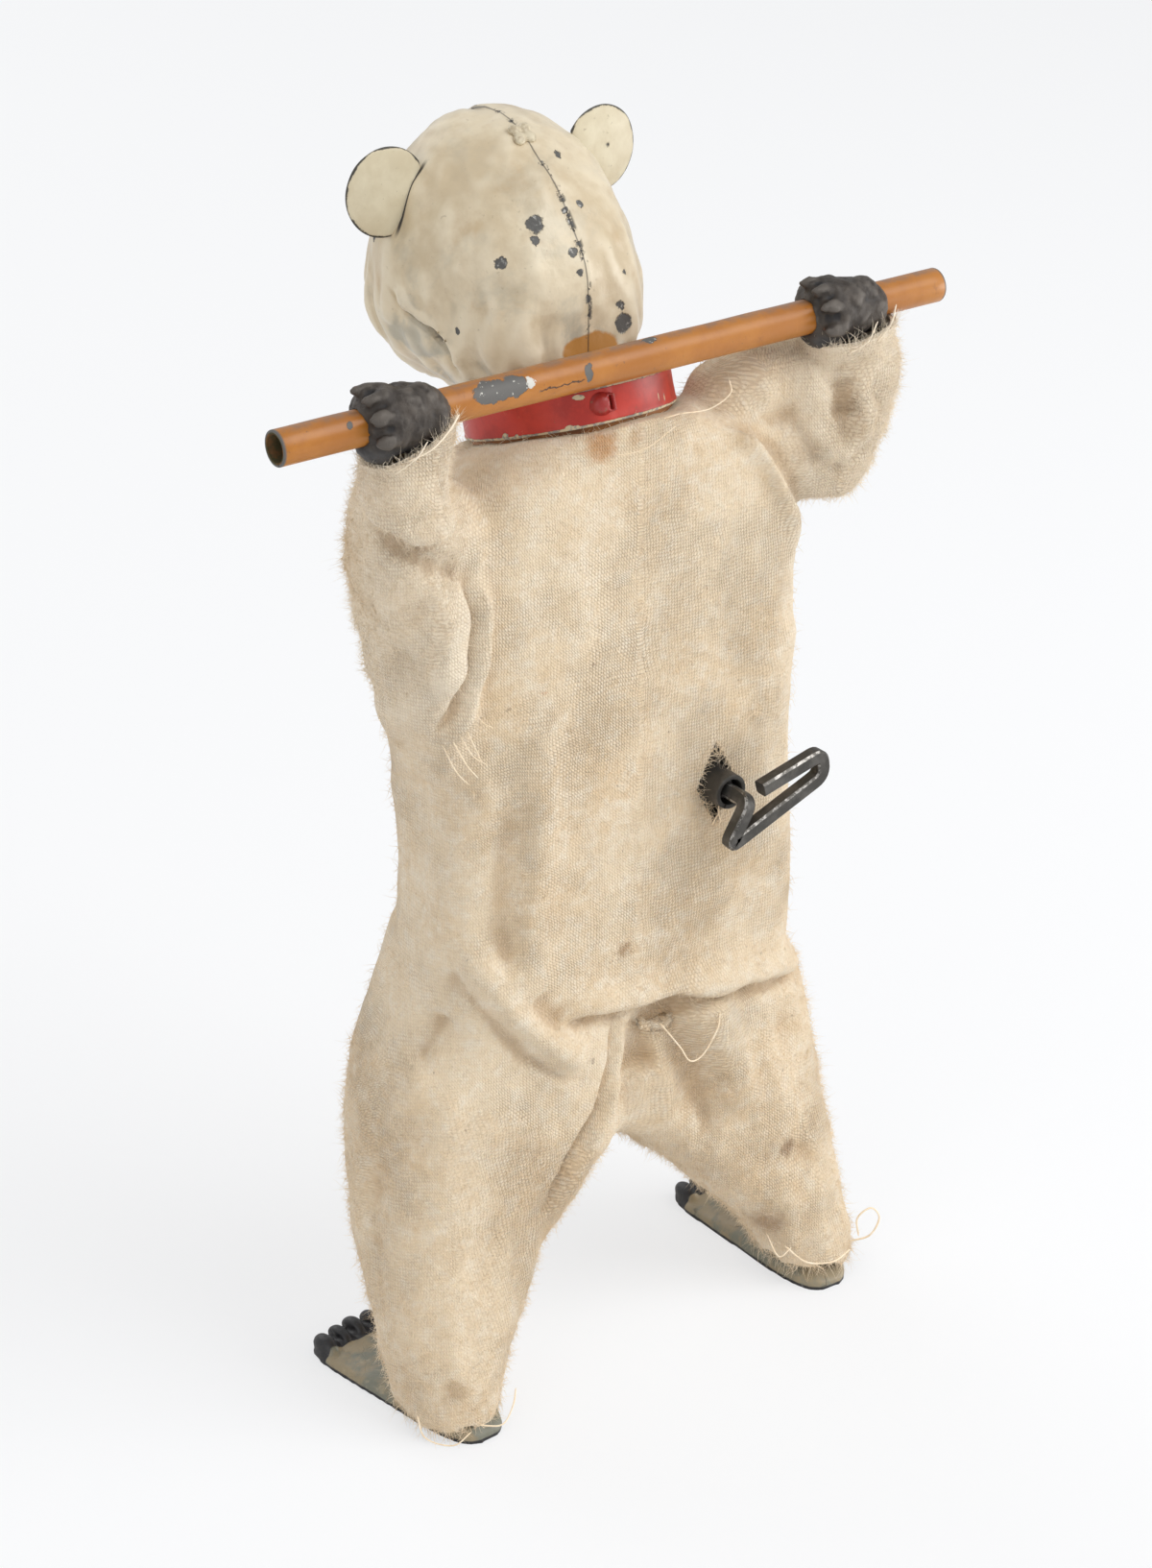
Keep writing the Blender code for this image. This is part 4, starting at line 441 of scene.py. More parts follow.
# The folds: path on the cloth in millimetres, width, height, and the dip beside it
creases = [
    # the long soft ridge down the left of the back, and the pouch that it runs into above the left leg
    ([(17.5, 27, 118), (18.3, 27.3, 103), (19.4, 27.3, 92.9), (20.4, 27.3, 83.5), (20.2, 27, 75),
      (19.7, 27.7, 70.2)], 3.4, 1.5),
    ([(23.0, 27, 104), (24.2, 26.5, 92), (24.4, 26, 82), (23.6, 26, 76)], 3.0, -1.5),
    ([(29.5, 22, 80), (27.5, 24.8, 76.2), (24.1, 26.8, 70.4), (19.2, 27.9, 63.3), (13.8, 28.1, 58.5),
      (10, 28, 56)], 3.1, 2.0, 1.1),
    ([(20.8, 27, 70), (17.4, 27.8, 66.5), (14.5, 28, 64.4)], 1.6, -1.5),
    # the lower edge of the back, which stands out over the legs
    ([(13.5, 27.9, 66.6), (8, 27.6, 65.2), (3.8, 26.9, 64), (-8.7, 27.8, 61.9), (-20.2, 27.9, 60.6),
      (-31, 26, 58.4), (-36.7, 21.4, 56.4)], 2.6, 1.5, 2.2),
    ([(-34.5, 20, 57.5), (-35.6, 12, 57.0), (-34, 4, 57.5), (-28, -2, 58)], 2.4, -1.4),
    # the creases at the left hip and down the left leg
    ([(31.6, 19.6, 97), (31.2, 20.4, 91), (31.2, 20.4, 86), (31.6, 20.0, 80)], 3.2, 0.85),
    ([(31.4, 24.6, 80), (31.9, 23.4, 76), (32.5, 22.4, 72)], 2.0, -0.6),
    ([(32.6, 21.8, 69.5), (33.4, 21.6, 67.5), (34.9, 21.2, 64.8), (37.4, 19.6, 60.7)], 2.6, -1.8),
    ([(36.2, 19.0, 80), (38.6, 17.5, 73), (41.4, 16.5, 65), (43.6, 15.5, 56)], 3.4, 1.0),
    ([(34.5, 23, 73), (36.8, 23, 66), (39.6, 21.5, 58), (41.5, 20, 50)], 2.8, 1.5),
    ([(43.5, 16.3, 46), (44.6, 18.7, 35.2), (44.9, 19.7, 24.3), (43.8, 20, 16)], 2.4, -1.2),
    ([(37, 27.5, 60), (36.5, 29, 50), (37.8, 30, 40), (38.4, 31, 30)], 4.2, 0.9),
    # the open front of the right leg and the flap beside it
    ([(-5, 27.5, 62), (-7.1, 27.5, 59.1), (-9.8, 27.9, 49.6), (-12.5, 28.4, 41.7), (-15.6, 28.5, 33.3)], 2.6,
     -2.4),
    ([(-2.2, 27, 60), (-2.4, 27, 54), (-2.0, 26.8, 48)], 3.4, -2.6),
    ([(1.1, 25.9, 61.2), (1.8, 26.4, 52.7), (5.9, 27.4, 44.4), (12.1, 28.3, 38.3), (17.5, 28.6, 30.5)], 1.9,
     1.5, 1.6),
    ([(-14, 28.4, 60), (-16.8, 29, 52), (-19, 29.4, 44), (-21, 30, 36)], 3.2, 1.3),
    ([(-30.5, 27.5, 52), (-33.6, 27.5, 42), (-35.5, 29, 32), (-35, 30.6, 22)], 3.2, -1.1),
    ([(-24, 30.2, 27), (-29, 31, 24.6), (-36, 29.5, 23.6)], 2.2, -0.9),
    ([(-24, 31.5, 18), (-30, 32.4, 16), (-38, 30, 15.2)], 2.0, 0.9),
    # the left sleeve: the fold round the wrist, the groove under it and the loose raw edge
    ([(47.2, 24.5, 155), (44.8, 28, 151.7), (41.6, 30.2, 149.6), (36.4, 30.2, 151.0), (33.5, 27, 153)], 2.0,
     1.1, 1.5),
    ([(47.5, 26, 150.5), (43.4, 29.4, 148.4), (39.4, 30.4, 146.4), (34.5, 29, 144.1), (29.0, 27.0, 141.5)],
     1.9, -1.6),
    ([(28.0, 27.0, 142), (27.9, 26.4, 135), (28.5, 26.2, 130.6), (29.6, 26.0, 125.3), (31.0, 26.0, 120.6),
      (34.2, 26.6, 116.3)], 1.7, 1.5, 2.4),
    ([(47.8, 17, 140), (46.2, 22.6, 134), (43.6, 26, 128), (40.2, 27, 121)], 2.6, -0.9),
    ([(44.8, 26, 141), (43.4, 27.6, 135), (40.8, 28.2, 129)], 2.4, 0.9),
    ([(34.5, 29.0, 139), (34.6, 29.0, 131), (36.0, 28.4, 124)], 2.6, 0.8),
    # the right sleeve: one roll in a loop round the arm, its grooves, and the fold at the wrist
    ([(-34.4, 24.8, 160), (-33.2, 23.4, 156), (-33.0, 24.4, 151), (-34.0, 26.6, 147.4), (-36.4, 28.4, 146.4),
      (-39.2, 28.8, 148.4),
      (-40.2, 29.4, 152.4), (-38.6, 29.8, 156.2)], 1.9, 1.7, 1.2),
    ([(-36.2, 28.6, 158), (-36.0, 29.2, 154.5), (-36.6, 29, 151.6)], 1.6, -1.6),
    ([(-34.3, 28.1, 159.3), (-35.8, 29.6, 158.4), (-37.6, 30.7, 159.1), (-40.1, 31.4, 160.5)], 1.3, -0.9),
    ([(-44.0, 28.8, 153), (-44.8, 27, 148), (-43.6, 24, 142.5)], 2.0, -1.1),
    ([(-32, 25.2, 142), (-36.5, 26, 139.6), (-41.5, 24.5, 141)], 2.0, 0.9),
    # the right armhole: a raised seam from the neck to under the arm, with a groove inside it
    ([(-9, 26.2, 156.8), (-13.8, 26.8, 156.4), (-18.4, 27, 153.4), (-21.2, 26.8, 150.3), (-23.7, 26.6, 147),
      (-25.8, 26.6, 143.4),
      (-27.6, 26.6, 140.0), (-29.0, 26.6, 136.0), (-30.2, 26.0, 131.0)], 1.3, 1.25),
    ([(-15.3, 26.4, 157.2), (-20.6, 26.8, 153.0), (-24.6, 26.6, 148.6), (-27.6, 26.4, 144.0),
      (-29.6, 26, 139)], 1.3, -1.2),
    # soft pulls across the back and belly
    ([(-31, 27, 120), (-27, 27.6, 112), (-24.5, 27.8, 104)], 4.0, 0.5),
    ([(8, 27.4, 140), (2, 27.6, 130), (0, 27.6, 118)], 5.0, -0.5),
    ([(-22, 27.6, 84), (-14, 27.6, 78), (-4, 27.4, 75)], 5.0, 0.5),
    ([(14, -5.2, 120), (6, -6.3, 100), (10, -6.0, 84)], 4.0, -1.2),
    ([(-16, -4.8, 132), (-8, -6.2, 112), (-12, -5.6, 92)], 4.0, -1.0),
    ([(22, -2, 72), (6, -5.6, 68), (-12, -5.2, 70), (-26, 0, 74)], 3.0, 1.3, 1.2),
    ([(-33, 8, 128), (-33, 9, 108), (-32.4, 6, 90)], 3.4, -0.9),
    ([(31.8, 7, 120), (31.0, 8, 110), (30.6, 8, 101)], 3.4, -0.6),
    ([(18, 1, 56), (26, 2.4, 44), (31, 5, 32)], 3.0, 1.0, 0.8),
    ([(-18, 1, 56), (-26, 2.4, 44), (-31, 5, 32)], 3.0, 1.0, 0.8),
]
for path, width, height, *lip in creases:
    suit_skin.crease(path, width * 1.1, height * (1.3 if height > 0 else 1.12), sum(lip) * 1.25)


def slack(x, y, z):
    """Slack in the cloth between the folds: long soft waves, shorter ones on the limbs, and lumps."""
    limb = min(1.0, max(0.0, (abs(x) - 27) / 6)) if z > 108 else min(1.0, max(0.0, (62 - z) / 10))
    quiet = 0.55 if (y > 24 and abs(x) < 26 and z > 66) else 1.0
    wave = noise.noise(Vector((x / 11, y / 11, z / 19)))
    ruck = 1 - abs(noise.noise(Vector((x / 7 + 9, y / 7, z / 13)))) * 2
    fine = noise.noise(Vector((x / 3.1, y / 3.1 + 5, z / 4.2)))
    return quiet * (0.62 * wave + (0.25 + 0.3 * limb) * (ruck - 0.7) + 0.14 * fine)


suit_skin.lumps(slack)
suit_skin.points[:, 2] = np.maximum(suit_skin.points[:, 2], 0.3)
suit_cut = suit_skin.keep()

# Cut open at the neck, the cuffs, the hems and the key slit
NECK_Y, NECK_Z = 10.0, 153.6
POLE_Y, POLE_Z = 24.5, 166.9
PAW_X = 39.2
KEY_X, KEY_Z = -14.7, 96.5


def middle_of(face):
    """The middle of a face, in millimetres."""
    return face.calc_center_median() / MM


def cut(shape, point, away, where, remove):
    """Cuts the cloth on a plane where the test holds; the far side goes where remove is set."""
    faces = [f for f in shape.faces if where(middle_of(f))]
    parts = list(dict.fromkeys(g for f in faces for g in (*f.verts, *f.edges))) + faces
    bmesh.ops.bisect_plane(shape, geom=parts, dist=1e-7, plane_co=[c * MM for c in point], plane_no=away,
                           clear_outer=remove, clear_inner=False)


def drop(shape, gone):
    """Takes away the faces whose middles pass the test, and the corners that only they had."""
    bmesh.ops.delete(shape, geom=[f for f in shape.faces if gone(middle_of(f))], context="FACES")
    bmesh.ops.delete(shape, geom=[v for v in shape.verts if not v.link_faces], context="VERTS")


def off_pole(c):
    """Distance from the axis of the pole."""
    return math.hypot(c.y - POLE_Y, c.z - POLE_Z)


neck_middle = Vector((0, NECK_Y, NECK_Z))
neck_up = Vector((0, -math.sin(LEAN), math.cos(LEAN)))
cut(suit_cut, neck_middle + 0.2 * neck_up, neck_up,
    lambda c: math.hypot(c.x, c.y - NECK_Y) < 16.9 and c.z > 144, True)
for side, slant in ((1, (0.4, 0, 0.917)), (-1, (0.12, 0, 0.993))):
    cut(suit_cut, (PAW_X * side, 0, 163.4), slant, lambda c: c.z > 155 and c.x * side > 28, True)
drop(suit_cut, lambda c: abs(c.x) > 28 and off_pole(c) < 3.1)
for side, foot in ((1, 2.6), (-1, 4.2)):
    def ripple(co):
        return (0.7 * math.sin(co.x / MM * 0.9 + 2 * side) + 0.5 * math.sin(co.y / MM * 1.3)) * MM
    low_verts = [v for v in suit_cut.verts if v.co.z < 12 * MM and v.co.x * side > 0]
    for v in low_verts:
        v.co.z += ripple(v.co)
    cut(suit_cut, (0, 0, foot), (0, 0, -1), lambda c: c.z < 11 and c.x * side > 0, True)
    for v in suit_cut.verts:
        if v.co.z < 11.3 * MM and v.co.x * side > 0:
            v.co.z -= ripple(v.co)
slit_wide, slit_tall = 3.9, 7.4
for sx in (1, -1):
    for sz in (1, -1):
        slant = Vector((sx / slit_wide, 0, sz / slit_tall)).normalized()
        cut(suit_cut, (KEY_X + sx * slit_wide, 0, KEY_Z), slant,
            lambda c: c.y > 22 and abs(c.x - KEY_X) < 6 and abs(c.z - KEY_Z) < 9, False)
drop(suit_cut, lambda c: c.y > 22 and abs(c.x - KEY_X) / slit_wide + abs(c.z - KEY_Z) / slit_tall < 0.995)

# Split into the pieces that the joints need: each piece starts where it still stands still with the body
leg_line = (Vector((0, 0, 33)), Vector((0.583, 0, -0.813)))
arm_line = (Vector((27, 0, 156)), Vector((0.945, 0, 0.327)))


def past(c, line, side):
    return (Vector((c.x * side, 0, c.z)) - line[0]).dot(line[1]) > 0


for side in (1, -1):
    for line, where in ((leg_line, lambda c: c.z < 72 and c.x * side > -1),
                        (arm_line, lambda c: c.z > 104 and c.x * side > 18)):
        cut(suit_cut, (line[0].x * side, 0, line[0].z), (line[1].x * side, 0, line[1].z), where, False)
piece_of = suit_cut.faces.layers.int.new("piece")
for f in suit_cut.faces:
    c = middle_of(f)
    side = 1 if c.x > 0 else -1
    if c.z < 72 and past(c, leg_line, side):
        f[piece_of] = 1 if side > 0 else 2
    elif c.z > 104 and past(c, arm_line, side) and abs(c.x) > 20:
        f[piece_of] = 3 if side > 0 else 4
suit_cut.to_mesh(suit_skin.mesh)

flannel = Finish("flannel", Roughness=0.95, Specular_IOR_Level=0.12, Sheen_Weight=0.35, Sheen_Roughness=0.5,
                 Sheen_Tint=(1.0, 0.96, 0.88))


def weave(finish, pitch):
    """Plain weave, a little crooked: threads over and under, up the cloth and round each part of the suit."""
    warp = finish.noise(0.006, 2.0)
    bent = warp.vector("MULTIPLY_ADD", warp.out("Color"), (0.0016, 0.0016, 0.0016), finish.place)
    turns = math.tau / pitch
    across = (finish.attribute("across") + warp * 0.0016) * turns
    up = bent.axis("Z") * (turns * 0.92)
    over = across.sine() * up.sine()
    ribs = abs((across * 0.5).sine()) * abs((up * 0.5).sine())
    return over * 0.25 + ribs * 0.75


def cream(finish, lift=1.0):
    """The colour of the old flannel: cream, yellowed in clouds, brown in the hollows of the folds as painted
    shade, with stains.
    """
    hollow_here = finish.attribute("hollow")
    clouds = finish.noise(0.022, 4.0, 0.6)
    fluff = finish.noise(0.0022, 5.0, 0.7)
    base, yellowed, raised = ([c * lift for c in tone] for tone in (
        (0.885, 0.73, 0.525), (0.81, 0.625, 0.41), (0.93, 0.83, 0.675)))
    shade = finish.colour(base).mix(yellowed, clouds.between(0.38, 0.70))
    shade = shade.mix(raised, fluff.between(0.42, 0.70) * 0.75)
    sleeves = abs(finish.place.axis("X")).between(0.025, 0.032) * finish.place.axis("Z").between(0.108, 0.128)
    shade = shade.mix((0.98, 0.865, 0.69), sleeves * 0.7)
    # painted shade: the hollows of the folds turn brown, where shade falls in the creases
    shade = shade.mix((0.60, 0.41, 0.235), hollow_here.between(0.56, 0.95) * 0.55)
    shade = shade.mix((0.58, 0.44, 0.28), finish.noise(0.010, 5.0, 0.62).between(0.56, 0.80) * 0.22)
    shade = shade.mix((0.60, 0.44, 0.27), finish.noise(0.0007, 4.0, 0.7).between(0.52, 0.68) * 0.32)
    shade = shade.mix((0.68, 0.475, 0.25), finish.noise(0.017, 4.0, 0.6, 0.6).between(0.54, 0.76) * 0.45)
    shade = shade.mix((0.30, 0.20, 0.12), finish.noise(0.0016, 2.0, 0.5).between(0.745, 0.78) * 0.55)
    for centre, radius, tone, much in (((2.8, 27, 73.3), 1.5, (0.36, 0.20, 0.09), 0.75),
                                       ((13.5, 27.5, 113.5), 0.8, (0.45, 0.28, 0.12), 0.6),
                                       ((-29.8, 29.9, 26), 1.6, (0.30, 0.16, 0.07), 0.8),
                                       ((-25.3, 31, 13.3), 2.6, (0.40, 0.22, 0.10), 0.6),
                                       ((44.9, 19.2, 30.2), 1.5, (0.38, 0.21, 0.09), 0.65),
                                       ((38.8, 33.4, 8.8), 1.8, (0.45, 0.28, 0.13), 0.5),
                                       ((6.6, 26.6, 156.0), 2.3, (0.55, 0.24, 0.07), 0.75),
                                       ((1.0, 26.6, 156.2), 1.5, (0.50, 0.26, 0.10), 0.5),
                                       ((41, 30, 147.5), 1.6, (0.44, 0.29, 0.15), 0.5),
                                       ((-31, 27, 147), 2.4, (0.50, 0.33, 0.18), 0.4),
                                       ((-19, 27, 152.4), 2.4, (0.52, 0.34, 0.17), 0.5),
                                       ((18, 28.6, 121), 0.7, (0.62, 0.22, 0.06), 0.7)):
        shade = shade.mix(tone, finish.spot([c * MM for c in centre], radius * 1.5 * MM, 0.0013, 0.0011,
                                            soft=0.75) * much)
    return shade


nap_height = flannel.noise(0.0011, 6.0, 0.75) * 0.75 + flannel.noise(0.00045, 3.0, 0.6) * 0.3
worn = flannel.noise(0.024, 5.0, 0.65).between(0.40, 0.66)
threads = weave(flannel, 0.00052)
gaps = (1.0 - threads).between(0.50, 0.95) * (worn * 0.5 + 0.16)
flannel.set(Base_Color=cream(flannel).mix((0.56, 0.40, 0.245), gaps),
            Normal=flannel.bump(nap_height + threads * (worn * 0.4 + 0.16), 0.0006))


def walled(name, shape, thickness, material):
    """An open sheet with its own thickness, which keeps the shading of the whole skin across the cuts."""
    thin = bpy.data.meshes.new(name + "_thin")
    shape.to_mesh(thin)
    shape.free()
    holder = put(name + "_thin", thin)
    wall = holder.modifiers.new("wall", "SOLIDIFY")
    wall.thickness, wall.offset, wall.use_even_offset = thickness, -1.0, False
    mesh = settled_mesh(holder)
    mesh.name = name
    mesh.shade_smooth()
    kept = np.zeros(len(mesh.vertices) * 3)
    mesh.attributes["true_normal"].data.foreach_get("vector", kept)
    loops = np.zeros(len(mesh.loops), int)
    mesh.loops.foreach_get("vertex_index", loops)
    faces = np.zeros(len(mesh.polygons) * 3)
    mesh.polygons.foreach_get("normal", faces)
    sizes = np.zeros(len(mesh.polygons), int)
    mesh.polygons.foreach_get("loop_total", sizes)
    flat, smooth = np.repeat(faces.reshape(-1, 3), sizes, axis=0), kept.reshape(-1, 3)[loops]
    lined_up = np.einsum("ij,ij->i", smooth, flat)
    chosen = np.where((lined_up > 0.45)[:, None], smooth,
                      np.where((lined_up < -0.45)[:, None], -smooth, flat))
    chosen /= np.maximum(np.linalg.norm(chosen, axis=1), 1e-9)[:, None]
    mesh.normals_split_custom_set(chosen)
    for spare in ("true_normal", "piece"):
        if spare in mesh.attributes:
            mesh.attributes.remove(mesh.attributes[spare])
    mesh.materials.clear()
    mesh.materials.append(material)
    return put(name, mesh)


# Each piece: its name, its node, the body past the joint, the stretch that blends, its side and its middle
hip = ((0.023, 0.0125, 0.0495), (0.0323, 0.0125, 0.0365))
armhole = ((0.027, 0.0135, 0.156), (0.0355, 0.0135, 0.15894))
suit_parts = (("suit", "suit_body", "bear", None, 1, (0.0, 0.010)),
              ("trousers_left", "trouser_leg_left", "leg_left", hip, 1, (0.035, 0.017)),
              ("trousers_right", "trouser_leg_right", "leg_right", hip, -1, (-0.035, 0.017)),
              ("sleeve_cloth_left", "sleeve_left", "arms", armhole, 1, (0.037, 0.019)),
              ("sleeve_cloth_right", "sleeve_right", "arms", armhole, -1, (-0.037, 0.019)))


def follow(piece, number):
    """The piece moves as the part of the suit that it is, or that it grows on."""
    body, stretch, side = suit_parts[number][2:5]
    if stretch is None:
        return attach(piece, body)
    start, end = ((x * side, y, z) for x, y, z in stretch)
    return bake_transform(piece, "bear", body, start, end)


for number, (name, node, _, _, _, middle) in enumerate(suit_parts):
    shape = bmesh.new()
    shape.from_mesh(suit_skin.mesh)
    layer = shape.faces.layers.int["piece"]
    bmesh.ops.delete(shape, geom=[f for f in shape.faces if f[layer] != number], context="FACES")
    bmesh.ops.delete(shape, geom=[v for v in shape.verts if not v.link_faces], context="VERTS")
    piece = walled(name, shape, CLOTH, flannel.material)
    places = np.zeros(len(piece.data.vertices) * 3)
    piece.data.vertices.foreach_get("co", places)
    places = np.abs(places.reshape(-1, 3)[:, :2] - middle)
    across = piece.data.attributes.new("across", "FLOAT", "POINT")
    across.data.foreach_set("value", places[:, 0] - places[:, 1] * 0.8)
    follow(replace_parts(piece, node), number)


# Nap and loose threads of the suit: short cotton hairs brushed up out of the flannel, longer ones along its
# cut edges, and pulled threads at the neck, the cuffs, the fork and the hems. Each hair is one tapered bent
# strand.
strand_shape = bmesh.new()
bmesh.ops.create_cone(strand_shape, cap_ends=False, segments=3, radius1=1.0, radius2=0.12, depth=1.0,
                      matrix=Matrix.Translation((0, 0, 0.5)))
tall = [edge for edge in strand_shape.edges if abs(edge.verts[0].co.z - edge.verts[1].co.z) > 0.2]
bmesh.ops.subdivide_edges(strand_shape, edges=tall, cuts=2)
bmesh.ops.triangulate(strand_shape, faces=strand_shape.faces)
strand_points = np.array([tuple(vert.co) for vert in strand_shape.verts])
strand_faces = np.array([[vert.index for vert in face.verts] for face in strand_shape.faces])
strand_shape.free()

cloth_shape = bmesh.new()
cloth_shape.from_mesh(suit_skin.mesh)
cloth_piece_of = cloth_shape.faces.layers.int["piece"]
cloth_normal = cloth_shape.verts.layers.float_vector["true_normal"]
cloth_hollow = cloth_shape.verts.layers.float["hollow"]
roots, ways, sinks, owners, areas = [], [], [], [], []
for face in cloth_shape.faces:
    corners = face.verts[:]
    roots.append([tuple(corners[k].co) for k in (0, 1, 2, -1)])
    ways.append(tuple(corners[0][cloth_normal]))
    sinks.append(corners[0][cloth_hollow])
    owners.append(face[cloth_piece_of])
    areas.append(face.calc_area())
rims = []
for edge in cloth_shape.edges:
    if len(edge.link_faces) == 1:
        (a, b), face = edge.verts, edge.link_faces[0]
        inward = face.calc_center_median() - (a.co + b.co) / 2
        rims.append((a.co.copy(), b.co.copy(), a[cloth_normal].copy(), face[cloth_piece_of], inward))
cloth_shape.free()
roots, ways, sinks, owners, areas = (np.array(values, float)
                                     for values in (roots, ways, sinks, owners, areas))


def hairs(name, root, way, long, thick, curl, dice, sink):
    """One mesh of many strands, each from its root along its way, bent over by curl."""
    many = len(root)
    way = way / np.linalg.norm(way, axis=1)[:, None]
    aside = np.cross(way, dice.normal(size=(many, 3)))
    aside /= np.maximum(np.linalg.norm(aside, axis=1), 1e-9)[:, None]
    third = np.cross(way, aside)
    up = strand_points[:, 2][None, :, None]
    flat_x, flat_y = (strand_points[:, k][None, :, None] for k in (0, 1))
    body = (root[:, None] + way[:, None] * up * long[:, None, None]
            + (aside[:, None] * flat_x + third[:, None] * flat_y) * thick[:, None, None]
            + aside[:, None] * (up ** 2) * (curl * long)[:, None, None]
            + third[:, None] * np.sin(up * 5.0) * (0.12 * long)[:, None, None])
    body[:, :, 2] = np.maximum(body[:, :, 2], 0.00008)
    mesh = bpy.data.meshes.new(name)
    faces = (strand_faces[None] + (np.arange(many) * len(strand_points))[:, None, None]).reshape(-1, 3)
    mesh.vertices.add(many * len(strand_points))
    mesh.vertices.foreach_set("co", body.ravel())
    mesh.loops.add(faces.size)
    mesh.loops.foreach_set("vertex_index", faces.ravel())
    mesh.polygons.add(len(faces))
    mesh.polygons.foreach_set("loop_start", np.arange(len(faces)) * 3)
    mesh.update(calc_edges=True)
    mesh.shade_smooth()
    hollow = mesh.attributes.new("hollow", "FLOAT", "POINT")
    hollow.data.foreach_set("value", np.repeat(sink, len(strand_points)))
    mesh.materials.append(nap.material)
    return put(name, mesh)


nap = Finish("nap", Roughness=0.9, Specular_IOR_Level=0.15, Sheen_Weight=0.3, Sheen_Tint=(1.0, 0.96, 0.88))
nap.set(Base_Color=cream(nap, 1.06), Normal=nap.bump(nap.noise(0.0003, 2.0), 0.00005))


def at_neck(place):
    """Whether a place on a cut edge is at the neck, where the collar covers it."""
    return abs(place.z - 0.1529) < 0.004 and math.hypot(place.x, place.y - 0.01) < 0.0175


dice = np.random.default_rng(11)
for number, (name, many) in enumerate((("suit_nap", 11000), ("trousers_left_nap", 10500),
                                       ("trousers_right_nap", 10500), ("sleeve_left_nap", 7000),
                                       ("sleeve_right_nap", 7600))):
    mine = np.flatnonzero(owners == number)
    picked = dice.choice(mine, many, p=areas[mine] / areas[mine].sum())
    weights = dice.dirichlet((1, 1, 1, 1), many)
    root = np.einsum("ij,ijk->ik", weights, roots[picked])
    out = ways[picked]
    out = out / np.linalg.norm(out, axis=1)[:, None]
    lying = dice.normal(size=(many, 3)) + np.array((0.0, 0.0, -0.35))
    way = lying - np.einsum("ij,ij->i", lying, out)[:, None] * out
    way = way / np.linalg.norm(way, axis=1)[:, None] + out * dice.uniform(0.15, 1.1, many)[:, None]
    piece = hairs(name, root - out * 0.00006, way, dice.uniform(0.0007, 0.0021, many),
                  dice.uniform(0.000032, 0.00006, many), dice.normal(0, 0.5, many), dice, sinks[picked])
    follow(piece, number)
    # cut edges: loose ends of the weave, pointing away from the cloth
    edges = [rim for rim in rims if rim[3] == number and not at_neck(rim[0])]
    if not edges:
        continue
    root, way = [], []
    for a, b, out, _, inward in edges:
        for _ in range(4):
            root.append(a.lerp(b, dice.uniform()))
            way.append(-inward.normalized() + out * 0.25 + Vector(dice.normal(0, 0.45, 3)))
    many = len(root)
    fringe = hairs(name.replace("nap", "fringe"), np.array(root), np.array(way),
                   dice.uniform(0.0008, 0.0032, many), dice.uniform(0.00003, 0.00006, many),
                   dice.normal(0, 0.45, many), dice, np.full(many, 0.45))
    follow(fringe, number)


def smooth_rows(rows, steps):
    """Rows of numbers with smooth ones between them."""
    rows = [np.array(row, float) for row in rows]
    ends = [2 * rows[0] - rows[1]] + rows + [2 * rows[-1] - rows[-2]]
    made = []
    for before, a, b, after in zip(ends, ends[1:], ends[2:], ends[3:]):
        for i in range(steps):
            t = i / steps
            bend, twist = 2 * before - 5 * a + 4 * b - after, 3 * a - before - 3 * b + after
            made.append(0.5 * (2 * a + (b - before) * t + bend * t ** 2 + twist * t ** 3))
    return made + [rows[-1]]


def finished(name, shape, material, sharp=40):
    """A finished shape as a piece with its material, smooth but for its sharp edges."""
    mesh = bpy.data.meshes.new(name)
    shape.to_mesh(mesh)
    shape.free()
    mesh.shade_smooth()
    mesh.set_sharp_from_angle(angle=math.radians(sharp))
    mesh.materials.append(material)
    return put(name, mesh)


def onward(path, i):
    """The way that a path runs at one of its points."""
    return (path[min(i + 1, len(path) - 1)] - path[max(i - 1, 0)]).normalized()


def thread(shape, knots, thick):
    """One pulled thread through its places, in millimetres."""
    path = [Vector(point) for point in smooth_rows(knots, 7)]
    rings = []
    for i, point in enumerate(path):
        ahead = onward(path, i)
        across = ahead.cross(Vector((0.31, 0.52, 0.79))).normalized()
        up, wide = across.cross(ahead), thick * (0.5 if i in (0, len(path) - 1) else 1.0)
        turns = [math.tau * k / 6 for k in range(6)]
        rings.append([(point + (across * math.cos(turn) + up * math.sin(turn)) * wide) * MM
                      for turn in turns])
    bag(shape, rings)


